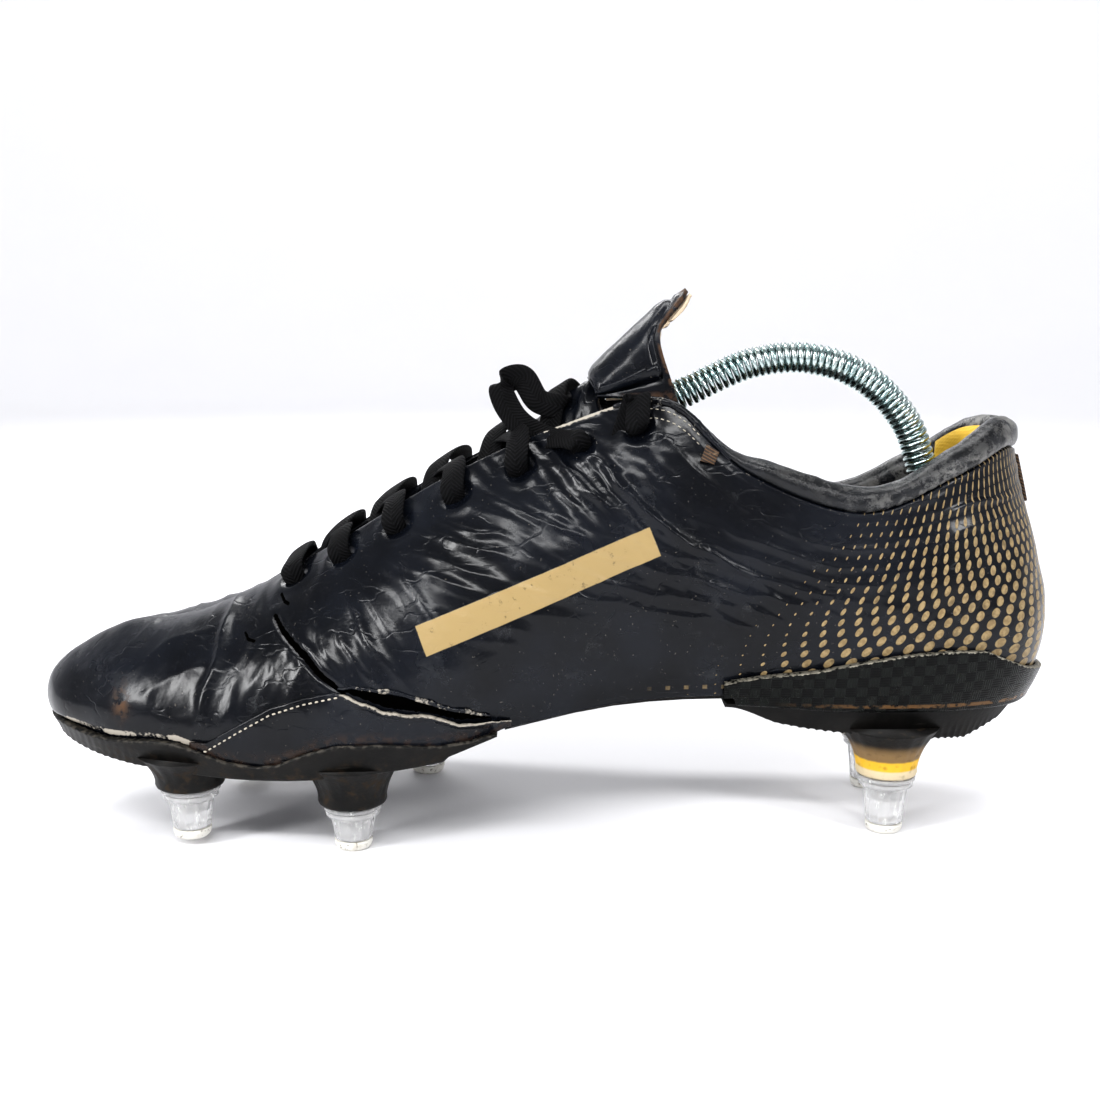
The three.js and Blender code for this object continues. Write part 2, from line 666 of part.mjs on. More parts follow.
// Points across the tongue from its medial edge to its lateral edge.
function tongueLine(u) {
  const edge = (side, v) => offsetPoint(u, v, side, -TONGUE_DROP, 0);
  const [left, right] = [edge(MEDIAL, 0.96), edge(LATERAL, 0.96)];
  const crown = left.clone().add(right).multiplyScalar(0.5);
  crown.z = wallPoint(u, 1, MEDIAL).z + crownAt(u);
  const shoulder = (a) => a.clone().lerp(crown, 0.5).add(new THREE.Vector3(0, 0, 0.18 * (crown.z - a.z)));
  return [edge(MEDIAL, 0.86), left, shoulder(left), crown, shoulder(right), right, edge(LATERAL, 0.86)];
}

function addTongue() {
  const step = (TONGUE_FROM - TONGUE_TO) / (TONGUE_RINGS - 1);
  const stations = Array.from({ length: TONGUE_RINGS }, (_, i) => TONGUE_FROM - step * i);
  const down = new THREE.Vector3(0.45, 0, -0.9).multiplyScalar(TONGUE_THICK);
  const rings = stations.map((u) => {
    const over = tongueLine(u);
    const under = over.map((p) => p.clone().add(down)).reverse();
    return [...over, ...under];
  });
  addSolid("tongue", solidOf(loft(rings.map((ring) => ring.reverse()), true)), "coatedUpper");
}

// The flap: an arch over the ankle, from its crease to its free end.
const FLAP_CROWN = [[11, 129.5], [17.8, 136], [28, 145], [37.3, 154]];
const FLAP_WAIST = [[12.5, 127.5], [18, 131], [25, 137], [31, 143]];
const FLAP_HEM = [[14, 125], [21, 124.4], [29, 123.8], [36.5, 123]];
const FLAP_HALF = 12.2;

function flapRing(i, sink, thick) {
  const [crown, waist, hem] = [FLAP_CROWN[i], FLAP_WAIST[i], FLAP_HEM[i]];
  const at = ([x, z], y) => new THREE.Vector3(x, y, z);
  const side = (s) => [at(hem, s * FLAP_HALF), at(waist, s * FLAP_HALF * 0.8), at(crown, s * FLAP_HALF * 0.3)];
  const line = [...side(MEDIAL), ...side(LATERAL).reverse()];
  const low = new THREE.Vector3(0.5, 0, -0.86);
  const squeeze = (p, d) => {
    const narrow = new THREE.Vector3(0, -Math.sign(p.y) * d * Math.min(1, Math.abs(p.y) / FLAP_HALF), 0);
    return p.clone().addScaledVector(low, d).add(narrow);
  };
  const over = line.map((p) => squeeze(p, sink));
  const under = line.map((p) => squeeze(p, sink + thick));
  return [...over, ...under.reverse()].reverse();
}

function addFlap() {
  const flap = FLAP_CROWN.map((_, i) => flapRing(i, 0, 1.3));
  addSolid("tongue_flap", solidOf(loft(flap, true)), "coatedUpper");
  const lining = FLAP_CROWN.map((_, i) => flapRing(i, 2.4, 0.8));
  addSolid("tongue_flap_lining", solidOf(loft(lining, true)), "tongueLining");
}

// ---------- lace ----------

const LACE_OVER = 2.2;
const LACE_UNDER = -5.6;
const LACE_CROSS = 1.9;
const LAST_RUNNER = 5.5;

// The lace's height over the throat's edge where it crosses the tongue, for each gap between two rows.
const CROSSING_LIFT = [-2, -1, 0, 1.5, 6];

const outside = (i, side) => offsetPoint(eyeletAt(i), EYELET_HEIGHT, side, LACE_OVER, 0);
const inside = (i, side) => offsetPoint(eyeletAt(i), EYELET_HEIGHT, side, LACE_UNDER, 0);
const overEdge = (i, side) => offsetPoint(eyeletAt(i), 1, side, LACE_OVER + 0.4, 0);
const underEdge = (i, side) => offsetPoint(eyeletAt(i) - 0.14, 0.975, side, LACE_UNDER, 0);

function crossing(i, above) {
  const u = (eyeletAt(i) + eyeletAt(i + 1)) / 2 - 0.07;
  const point = wallPoint(u, 1, MEDIAL).add(wallPoint(u, 1, LATERAL)).multiplyScalar(0.5);
  point.z += CROSSING_LIFT[i] + LACE_CROSS * (above ? 2 : 0);
  return point;
}

// The slack loop that stands up beside the tongue, and the way from it to the last eyelet.
const SLACK_LOOP = [
  [1, -9.5, 121.5], [-8, -7.5, 125.5], [-12, -3, 129.5], [-8, 1, 128], [-1, -6, 126.5], [6, -10.8, 124.5],
];

// One half of the lace, from the bar at the toe end up to its tucked end, starting on the given side.
function laceHalf(startSide) {
  const route = [];
  let side = startSide;
  for (let i = 0; i < EYELETS; i++) {
    route.push(overEdge(i, side), outside(i, side), inside(i, side));
    if (i < EYELETS - 2) {
      route.push(underEdge(i, side), crossing(i, (startSide === MEDIAL) === (i % 2 === 0)));
      side = -side;
    } else if (i === EYELETS - 2) {
      route.push(underEdge(i, side));
      if (side === MEDIAL) route.push(...SLACK_LOOP.map((p) => new THREE.Vector3(...p)));
      else route.push(wallPoint(LAST_RUNNER, 1, side).add(new THREE.Vector3(-4, -5.2 * side, 0)));
    }
  }
  route.push(offsetPoint(EYELET_LAST - 0.15, 0.72, side, -6.6, 0));
  route.push(offsetPoint(EYELET_LAST - 0.3, 0.56, side, -6.6, 0));
  return route;
}

const AGLET_GAP = 0.4;
const AGLET_LONG = 16;

function addAglet(name, end, before) {
  const direction = end.clone().sub(before).normalize();
  const from = end.clone().addScaledVector(direction, AGLET_GAP);
  const to = from.clone().addScaledVector(direction, AGLET_LONG);
  addGeometry(name, tube([from, to], LACE_RADIUS, 1, 8), "aglet");
}

function addLace() {
  const [medial, lateral] = [laceHalf(MEDIAL), laceHalf(LATERAL)];
  const route = [...[...medial].reverse(), ...lateral];
  addGeometry("lace", tube(route, LACE_RADIUS, LACE_STEPS, 5), "laceWeave");
  addAglet("lace_aglet_a", medial.at(-1), medial.at(-2));
  addAglet("lace_aglet_b", lateral.at(-1), lateral.at(-2));
}

// ---------- shoe tree ----------

function addTree() {
  for (const [name, shape] of [["tree_toe_block", TREE_BLOCK], ["tree_heel_knob", TREE_KNOB]]) {
    const ball = new THREE.SphereGeometry(1, 16, 10);
    ball.scale(...shape.size);
    ball.translate(...shape.at);
    addGeometry(name, ball, "treePlastic");
  }
  const axis = SPRING_AXIS.map(([x, z]) => new THREE.Vector3(x, 0, z));
  addGeometry("tree_spring", tube(axis, SPRING_RADIUS, 38, 8), "zinc");
}

addUpper();
addSidePanels();
addEyestays();
addStiffeners();
addInsoles();
addCollar();
addForefootPlate();
addShank();
addHeelCounter();
addHeelPlate();
STUDS.forEach((stud, i) => addStud(stud, i + 1));
addTongue();
addFlap();
addLace();
addTree();

boot.position.set(CENTRE_X, CENTRE_Y, 0);

export default boot;
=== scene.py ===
"""A worn soccer cleat with a sprung shoe tree inside it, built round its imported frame."""

import math

import bmesh
import bpy
import numpy as np
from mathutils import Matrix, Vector


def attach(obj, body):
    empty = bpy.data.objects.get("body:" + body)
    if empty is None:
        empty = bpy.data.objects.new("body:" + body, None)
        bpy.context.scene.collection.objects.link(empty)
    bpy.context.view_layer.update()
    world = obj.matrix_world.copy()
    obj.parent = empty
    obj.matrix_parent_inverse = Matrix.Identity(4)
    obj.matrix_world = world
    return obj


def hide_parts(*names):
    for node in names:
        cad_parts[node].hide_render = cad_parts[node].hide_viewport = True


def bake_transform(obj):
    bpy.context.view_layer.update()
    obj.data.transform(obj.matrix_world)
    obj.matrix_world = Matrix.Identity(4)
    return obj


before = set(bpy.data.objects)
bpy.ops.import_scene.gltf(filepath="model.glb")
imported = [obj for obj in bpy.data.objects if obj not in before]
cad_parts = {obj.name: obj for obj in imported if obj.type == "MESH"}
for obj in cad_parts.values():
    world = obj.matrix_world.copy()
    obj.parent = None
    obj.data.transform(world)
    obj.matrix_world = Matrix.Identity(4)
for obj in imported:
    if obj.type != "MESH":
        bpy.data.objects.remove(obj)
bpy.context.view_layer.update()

MM = 0.001
TURN = 2 * math.pi
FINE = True
MEDIAL = -1
LATERAL = 1

# The last is laid out in millimetres. This moves its own axes onto the frame's.
SHIFT = np.array([0.3, -1.62, 0.0])

# ---------- directions, lines and curves ----------


def unit(vectors):
    return vectors / np.maximum(np.linalg.norm(vectors, axis=-1, keepdims=True), 1e-9)


def level(vectors):
    """Each direction turned level, at length one."""
    return unit(vectors * np.array([1, 1, 0]))


def circle(count):
    return np.linspace(0, TURN, count, endpoint=False)


def run_length(path):
    """Distance along a line of points from its first one."""
    return np.concatenate([[0], np.cumsum(np.linalg.norm(np.diff(path, axis=0), axis=1))])


def points_along(path, places):
    """Points of a line at distances along it."""
    gone = run_length(path)
    return np.stack([np.interp(places, gone, path[:, k]) for k in range(3)], 1)


def spline(a, b, c, d, t):
    """Catmull-Rom between b and c."""
    square = 2 * a - 5 * b + 4 * c - d
    cube = -a + 3 * b - 3 * c + d
    return 0.5 * (2 * b + (c - a) * t + square * t * t + cube * t**3)


def line_height(line, x):
    """Height at x of a line of x, z points."""
    xs, zs = zip(*line)
    return np.interp(x, xs, zs)


# ---------- the last: the same sections as the CAD model ----------

# heading, feather (x, medial y, lateral y, z), rise (length, angle), top, fall, and the lateral side's drop
LAST = [
    (0, (141, 0, 0, 41), (26, 62), (134.5, 0, 0, 109), (26, -80), 0),
    (40, (132.5, -18.5, 18.5, 41), (24, 64), (127, -15, 15, 109.5), (24, -80), 2),
    (75, (112, -27, 28, 41), (20, 68), (111, -26, 26, 103), (20, -80), 5),
    (90, (82, -28, 31, 41), (20, 70), (85, -30, 31, 94), (16, -80), 6),
    (90, (50, -25, 33, 42), (26, 66), (54, -29, 31, 105), (20, -76), 4),
    (90, (20, -27, 37, 40.5), (34, 66), (32, -20, 22, 123.5), (22, -58), 1),
    (90, (-10, -35, 42, 36), (34, 66), (3, -14, 15, 116.5), (26, -45), 0),
    (90, (-38, -41, 45, 31.5), (28, 68), (-29, -13, 13, 102), (26, -38), 0),
    (92, (-66, -42, 42, 28.5), (24, 70), (-58, -11, 11, 84.5), (24, -28), 0),
    (97, (-95, -39, 35.5, 29), (19, 68), (-82, -3, -3, 70.5), (24, -5), 0),
    (125, (-126, -28.5, 18, 32), (16, 64), (-100, -5, -5, 63), (20, -3), 0),
    (180, (-143.2, -6, -6, 34), (13, 62), (-112, -6, -6, 60.5), (18, 0), 0),
]
TOE = len(LAST) - 1
THROAT_END = 9.0
WALL = 1.8


def rib_channels():
    """Control values per station: even parts (x, centre y, z), odd half widths, and the lateral drop."""
    even = np.zeros((4, len(LAST), 3))
    odd = np.zeros((4, len(LAST)))
    drop = np.zeros((4, len(LAST)))
    for i, (heading, feather, rise, top, fall, low) in enumerate(LAST):
        cos_h, sin_h = math.cos(math.radians(heading)), math.sin(math.radians(heading))
        for which in range(4):
            line, pull = (feather, rise) if which < 2 else (top, fall)
            reach = pull[0] if which in (1, 2) else 0.0
            out = reach * math.cos(math.radians(pull[1]))
            up = reach * math.sin(math.radians(pull[1]))
            even[which, i] = (line[0] + out * cos_h, (line[1] + line[2]) / 2, line[3] + up)
            odd[which, i] = (line[2] - line[1]) / 2 + out * sin_h
            drop[which, i] = low if which > 1 else 0
    return even, odd, drop


EVEN, ODD, DROP = rib_channels()


def catmull(values, u, sign=None):
    """Catmull-Rom along the stations. Indices past an end reflect, and odd channels change sign there."""
    base = np.minimum(np.floor(u).astype(int), TOE - 1)
    t = u - base
    p = []
    for step in (-1, 0, 1, 2):
        index = base + step
        flip = (index < 0) | (index > TOE)
        index = np.where(index < 0, -index, np.where(index > TOE, 2 * TOE - index, index))
        value = values[index]
        if sign is not None:
            value = np.where(flip, -value, value)
        p.append(value)
    if p[0].ndim > t.ndim:
        t = t[..., None]
    return spline(*p, t)


def wall(u, v, side):
    """Points of the last's wall. u runs heel to toe and may pass either end, v from feather to top."""
    u, v, side = np.broadcast_arrays(np.asarray(u, float), np.asarray(v, float), np.asarray(side, float))
    over = (u < 0) | (u > TOE)
    side = np.where(over, -side, side)
    u = np.where(u < 0, -u, np.where(u > TOE, 2 * TOE - u, u))
    w = 1 - v
    shares = [w**3, 3 * w * w * v, 3 * w * v * v, v**3]
    total = np.zeros(u.shape + (3,))
    for which in range(4):
        centre = catmull(EVEN[which], u)
        half = catmull(ODD[which], u, sign=True)
        if which == 3:
            half = np.where(u >= THROAT_END, 0, np.maximum(half, 0))
        low = catmull(DROP[which], u) * (side > 0)
        point = centre.copy()
        point[..., 1] += side * half
        point[..., 2] -= low
        total += shares[which][..., None] * point
    return total


def side_normal(u, v, side):
    du, dv = 0.02, 0.01
    along = wall(u + du, v, side) - wall(u - du, v, side)
    upward = wall(u, np.minimum(1, v + dv), side) - wall(u, np.maximum(0, v - dv), side)
    n = np.cross(along, upward) * np.asarray(side, float)[..., None]
    return unit(n)


def wall_normal(u, v, side):
    """Outward normals. Along the closed ridge both sides share one."""
    u, v, side = np.broadcast_arrays(np.asarray(u, float), np.asarray(v, float), np.asarray(side, float))
    n = side_normal(u, v, side)
    inner = np.where(u > TOE, 2 * TOE - u, np.abs(u))
    ridge = ((v > 0.9999) & (inner >= THROAT_END))[..., None]
    return np.where(ridge, unit(n + side_normal(u, v, -side)), n)


def skin(u, v, side, offset):
    return wall(u, v, side) + wall_normal(u, v, side) * np.asarray(offset, float)[..., None]


def at_height(u, z, side, offset):
    """Points at heights z on the wall, which is carried straight on below the feather line."""
    u, z, side = np.broadcast_arrays(np.asarray(u, float), np.asarray(z, float), np.asarray(side, float))
    low, high = np.zeros(u.shape), np.full(u.shape, 0.8)
    for _ in range(22):
        mid = (low + high) / 2
        below = wall(u, mid, side)[..., 2] < z
        low = np.where(below, mid, low)
        high = np.where(below, high, mid)
    v = (low + high) / 2
    foot, n = wall(u, 0 * v, side), wall_normal(u, 0 * v, side)
    tangent = unit(wall(u, 0 * v + 0.02, side) - foot)
    reach = ((foot[..., 2] - z) / tangent[..., 2])[..., None]
    extended = foot - tangent * reach + n * offset
    return np.where((z < foot[..., 2])[..., None], extended, skin(u, v, side, offset))


def locate(x, z, side):
    """u and v of the wall points that show at x, z in side view."""
    x, z = np.asarray(x, float), np.asarray(z, float)
    grid_u, grid_v = np.meshgrid(np.linspace(0, TOE, 140), np.linspace(0, 1, 50), indexing="ij")
    cloud = wall(grid_u, grid_v, side)
    u, v = np.zeros(x.shape), np.zeros(x.shape)
    for i in np.ndindex(x.shape):
        nearest = np.argmin((cloud[..., 0] - x[i]) ** 2 + (cloud[..., 2] - z[i]) ** 2)
        u[i], v[i] = grid_u.flat[nearest], grid_v.flat[nearest]
    h = 1e-3
    for _ in range(8):
        here = wall(u, v, side)
        gu = (wall(np.minimum(u + h, TOE), v, side) - here) / h
        gv = (wall(u, np.minimum(v + h, 1), side) - here) / h
        ex, ez = x - here[..., 0], z - here[..., 2]
        det = gu[..., 0] * gv[..., 2] - gu[..., 2] * gv[..., 0]
        det = np.where(np.abs(det) < 1e-3, 1e-3, det)
        u = np.clip(u + np.clip((ex * gv[..., 2] - ez * gv[..., 0]) / det, -0.3, 0.3), 0, TOE)
        v = np.clip(v + np.clip((gu[..., 0] * ez - gu[..., 2] * ex) / det, -0.1, 0.1), 0, 1)
    return u, v


# ---------- noise and masks ----------


def hashed(ix, iy, seed):
    h = (ix.astype(np.int64) * 374761393 + iy.astype(np.int64) * 668265263 + seed * 144665) & 0xFFFFFFFF
    h = ((h ^ (h >> 13)) * 1274126177) & 0xFFFFFFFF
    h = h ^ (h >> 16)
    return (h & 0xFFFFFF) / float(0xFFFFFF) * 2 - 1


def noise(x, y, seed=0):
    """Smooth value noise from -1 to 1."""
    ix, iy = np.floor(x), np.floor(y)
    fx, fy = x - ix, y - iy
    fx, fy = fx * fx * (3 - 2 * fx), fy * fy * (3 - 2 * fy)
    a, b = hashed(ix, iy, seed), hashed(ix + 1, iy, seed)
    c, d = hashed(ix, iy + 1, seed), hashed(ix + 1, iy + 1, seed)
    return (a * (1 - fx) + b * fx) * (1 - fy) + (c * (1 - fx) + d * fx) * fy


def fractal(x, y, seed=0, octaves=3):
    total, size = 0, 1.0
    for k in range(octaves):
        total = total + noise(x / size, y / size, seed + 17 * k) * size
        size *= 0.5
    return total / 1.6


def smooth(low, high, x):
    t = np.clip((x - low) / (high - low), 0, 1)
    return t * t * (3 - 2 * t)


def blob(x, z, cx, cz, rx, rz, turn=0.0):
    c, s = math.cos(math.radians(turn)), math.sin(math.radians(turn))
    a = ((x - cx) * c + (z - cz) * s) / rx
    b = (-(x - cx) * s + (z - cz) * c) / rz
    return np.exp(-(a * a + b * b))


FOLD_LENGTH = 26.0
FOLD_WANDER = 0.8


def folds(x, z, angle, spacing, seed):
    """Long creases running at an angle: 0 in the hollows and 1 on the crests."""
    c, s = math.cos(math.radians(angle)), math.sin(math.radians(angle))
    along, across = x * c + z * s, -x * s + z * c
    across = across + spacing * FOLD_WANDER * fractal(along / FOLD_LENGTH, across / (spacing * 3), seed)
    wave = 1 - np.abs(np.sin(math.pi * across / spacing))
    broken = smooth(-0.55, 0.5, noise(along / FOLD_LENGTH + 9, across / spacing * 0.8, seed + 5))
    return wave**1.6 * broken


def line_distance(x, z, points):
    """Distance in side view to an open line of x, z points, and the nearest point's share of its length."""
    best, where = np.full(np.shape(x), np.inf), np.zeros(np.shape(x))
    spans = [math.dist(a, b) for a, b in zip(points, points[1:])]
    gone, whole = 0.0, sum(spans)
    for (ax, az), (bx, bz), span in zip(points, points[1:], spans):
        t = np.clip(((x - ax) * (bx - ax) + (z - az) * (bz - az)) / span**2, 0, 1)
        d = np.hypot(x - ax - t * (bx - ax), z - az - t * (bz - az))
        nearer = d < best
        best = np.where(nearer, d, best)
        where = np.where(nearer, (gone + t * span) / whole, where)
        gone += span
    return best, where


# ---------- meshes ----------


def add_object(name, mesh):
    mesh.polygons.foreach_set("use_smooth", [True] * len(mesh.polygons))
    obj = bpy.data.objects.new(name, mesh)
    bpy.context.scene.collection.objects.link(obj)
    return obj


def make_mesh(name, points, faces):
    """points in millimetres on the last's axes."""
    mesh = bpy.data.meshes.new(name)
    moved = (np.asarray(points, float).reshape(-1, 3) + SHIFT) * MM
    mesh.from_pydata(moved.tolist(), [], faces)
    mesh.update()
    return add_object(name, mesh)


def grid_faces(rows, cols, start=0, close_cols=False, flip=False):
    """Quads of a rows x cols grid of points numbered from start."""
    faces = []
    for i in range(rows - 1):
        for j in range(cols if close_cols else cols - 1):
            a = start + i * cols + j
            b = start + i * cols + (j + 1) % cols
            faces.append((a, a + cols, b + cols, b) if flip else (a, b, b + cols, a + cols))
    return faces


def cap_faces(ring, flip=False):
    """A flat-ish cap over a ring that folds about its middle, as strips joining opposite points."""
    faces, n = [], len(ring)
    for k in range((n - 1) // 2):
        quad = (ring[k], ring[k + 1], ring[n - 2 - k], ring[n - 1 - k])
        quad = tuple(dict.fromkeys(quad))
        faces.append(tuple(reversed(quad)) if flip else quad)
    return faces


def add_attribute(obj, name, values):
    """Gives each point a value. One short of values, the rest are 0."""
    full = np.zeros(len(obj.data.vertices), np.float32)
    values = np.ravel(values)
    full[: values.size] = values
    obj.data.attributes.new(name, "FLOAT", "POINT").data.foreach_set("value", full)


def add_wear_and_shade(obj, **given):
    """The four values that the coated leather reads, 0 where they aren't given: worn, the painted shade of
    the splits, grime and girth.
    """
    for name in ("worn", "crack", "grime", "girth"):
        add_attribute(obj, name, given.get(name, 0.0))


def rings_mesh(name, rings, flip=False):
    """A tube of rings, each an array of points of the same length, capped at both ends."""
    count, size = rings.shape[:2]
    faces = grid_faces(count, size, close_cols=True, flip=flip)
    faces += cap_faces(range(size), flip=not flip)
    faces += cap_faces(range((count - 1) * size, count * size), flip=flip)
    return make_mesh(name, rings, faces)


def last_points(obj):
    """The mesh's points in millimetres on the last's axes."""
    co = np.empty(len(obj.data.vertices) * 3)
    obj.data.vertices.foreach_get("co", co)
    return co.reshape(-1, 3) / MM - SHIFT


# ---------- materials ----------


class Wire:
    """A node's output that adds, subtracts, multiplies and divides like a number."""

    def __init__(self, net, socket):
        self.net, self.socket = net, socket

    def __add__(self, other):
        return self.net.math("ADD", self, other)

    def __sub__(self, other):
        return self.net.math("SUBTRACT", self, other)

    def __rsub__(self, other):
        return self.net.math("SUBTRACT", other, self)

    def __mul__(self, other):
        return self.net.math("MULTIPLY", self, other)

    def __truediv__(self, other):
        return self.net.math("DIVIDE", self, other)

    __radd__ = __add__
    __rmul__ = __mul__


class Net:
    """One material's nodes. Lengths are in millimetres on the frame's axes."""

    def __init__(self, name, bent=False):
        self.material = bpy.data.materials.new(name)
        self.material.use_nodes = True
        self.tree = self.material.node_tree
        self.tree.nodes.clear()
        self.shader = self.tree.nodes.new("ShaderNodeBsdfPrincipled")
        output = self.tree.nodes.new("ShaderNodeOutputMaterial")
        self.tree.links.new(self.shader.outputs[0], output.inputs["Surface"])
        if bent:
            where = self.make("ShaderNodeAttribute", {}, "Vector", attribute_name="rest")
        else:
            where = self.make("ShaderNodeTexCoord", {}, "Object")
        self.where = self.make("ShaderNodeVectorMath", {0: where, "Scale": 1 / MM}, operation="SCALE")
        split = self.tree.nodes.new("ShaderNodeSeparateXYZ")
        self.plug(split.inputs[0], self.where)
        self.x, self.y, self.z = (Wire(self, split.outputs[i]) for i in range(3))

    def plug(self, socket, value):
        if isinstance(value, Wire):
            self.tree.links.new(value.socket, socket)
        elif isinstance(value, tuple) and socket.type == "RGBA":
            socket.default_value = (*value, 1)
        else:
            socket.default_value = value

    def make(self, kind, inputs, output=0, **settings):
        node = self.tree.nodes.new(kind)
        for key, value in settings.items():
            setattr(node, key, value)
        for key, value in inputs.items():
            self.plug(node.inputs[key], value)
        return Wire(self, node.outputs[output])

    def math(self, operation, *values):
        return self.make("ShaderNodeMath", dict(enumerate(values)), operation=operation)

    def attribute(self, name):
        return self.make("ShaderNodeAttribute", {}, "Fac", attribute_name=name)

    def step(self, low, high, value):
        inputs = {"Value": value, "From Min": low, "From Max": high}
        return self.make("ShaderNodeMapRange", inputs, interpolation_type="SMOOTHSTEP")

    def mix(self, share, a, b):
        return self.make("ShaderNodeMix", {0: share, 6: a, 7: b}, 2, data_type="RGBA")

    def most(self, a, b):
        return self.math("MAXIMUM", a, b)

    def fade(self, value, length):
        """1 where value is 0, falling off exponentially over length."""
        return self.math("EXPONENT", value * (-1 / length))

    def noise(self, size, detail=2.0, seed=0.0, stretch=(1, 1, 1), rough=0.5):
        """Noise from 0 to 1 with features about size millimetres across."""
        scaled = self.make("ShaderNodeVectorMath", {0: self.where, 1: stretch}, operation="MULTIPLY")
        moved = self.make("ShaderNodeVectorMath", {0: scaled, 1: (seed, seed, seed)}, operation="ADD")
        inputs = {"Vector": moved, "Scale": 1 / size, "Detail": detail, "Roughness": rough}
        return self.make("ShaderNodeTexNoise", inputs)

    def finish(self, colour, roughness, height=None, **more):
        """height is a relief in millimetres."""
        inputs = self.shader.inputs
        self.plug(inputs["Base Color"], colour)
        self.plug(inputs["Roughness"], roughness)
        if height is not None:
            bump = self.make("ShaderNodeBump", {"Height": height, "Distance": MM, "Strength": 1.0})
            self.plug(inputs["Normal"], bump)
        for key, value in more.items():
            self.plug(inputs[key.replace("_", " ")], value)
        return self.material


# The dots: height of their lowest row and of a row, and distance round the heel to their first column.
DOT_BASE = 58.3
DOT_ROW = 2.94
DOT_FIRST = 96.3
# Their pitch along a row: its part that shrinks upwards, over what height, and its part that stays.
DOT_PITCH, DOT_SHRINK, DOT_PITCH_LEFT = 3.74, 31.7, 1.5
# How far round the lowest row reaches, how far less each millimetre up, and the tallest half height.
DOT_REACH, DOT_RETREAT, DOT_TALLEST = 98.5, 0.9, 1.36
# The few faint dots low on the side: their height and pitch.
FAINT_HEIGHT, FAINT_PITCH = 44.5, 5.2
# The one straight band: its middle, half length, half width and angle.
BAND_X, BAND_Z, BAND_HALF_LENGTH, BAND_HALF_WIDTH, BAND_ANGLE = -2, 74.5, 34, 4.3, 22
TOW = 2.9
COUNTER_FOOT = 40.3


def dot_pattern(net):
    """Leaning oval dots in rising rows round the heel, large low at the back and dying out forwards.

    The columns stand closer together higher up. Each point is tested against the rows below, at and above it.
    """
    girth, z = net.attribute("girth"), net.z
    climb = (DOT_FIRST - girth) * 0.044 + net.most(67.0 - girth, 0.0) * 0.085
    rise = (z - DOT_BASE - climb) / DOT_ROW + 0.5
    dash = net.step(88, 99, z)
    tilt = net.step(20, 75, girth) * 0.4
    covers = None
    for nearby in (-1, 0, 1):
        row = net.math("FLOOR", rise) + nearby
        height = row * DOT_ROW
        pitch = net.fade(height, DOT_SHRINK) * DOT_PITCH + DOT_PITCH_LEFT
        low = net.math("MINIMUM", height, 12.0)
        sway = low * low * 0.023 + net.most(height - 12.0, 0.0) * 0.66
        column = (DOT_FIRST - girth - sway) / pitch + 0.5
        a = (net.math("FRACT", column + 40.0) - 0.5) * pitch
        b = (rise - row - 0.5) * DOT_ROW
        reach = DOT_REACH - height * DOT_RETREAT - girth
        inside = net.most(reach, 0.0)
        swollen = (1 - net.fade(inside, 9.0)) * 0.7 * net.fade(height, 24.0)
        size = inside * 0.009 + 0.35 + swollen + height * 0.004
        size = size + net.math("MINIMUM", reach, 0.0) * 0.018
        lean = net.math("SQRT", net.most(height * 0.03 + 1.25, 1.0))
        wide = size / lean * (1 - dash * 0.4)
        tall = net.math("MINIMUM", size * lean, DOT_TALLEST)
        across, upward = (a - b * tilt) / wide, b / tall
        out = net.math("SQRT", across * across + upward * upward)
        cover = net.step(1.08, 0.92, out) * net.step(-13, -10, reach)
        covers = cover if covers is None else net.most(covers, cover)
    shown = net.step(112, 108, z) * net.step(36, 41, z)
    worn = net.step(0.28, 0.48, net.noise(2.6, 3, 5)) * 0.4 + 0.6
    row = net.step(0.8, 0.4, net.math("ABSOLUTE", z - (FAINT_HEIGHT + net.x * 0.01)))
    off = (net.math("FRACT", net.x / FAINT_PITCH + 50) - 0.5) * FAINT_PITCH
    faint = row * net.step(0.8, 0.5, net.math("ABSOLUTE", off)) * net.step(26, 36, net.x)
    return net.most(covers * shown * worn, faint * net.step(62, 45, net.x) * 0.5)


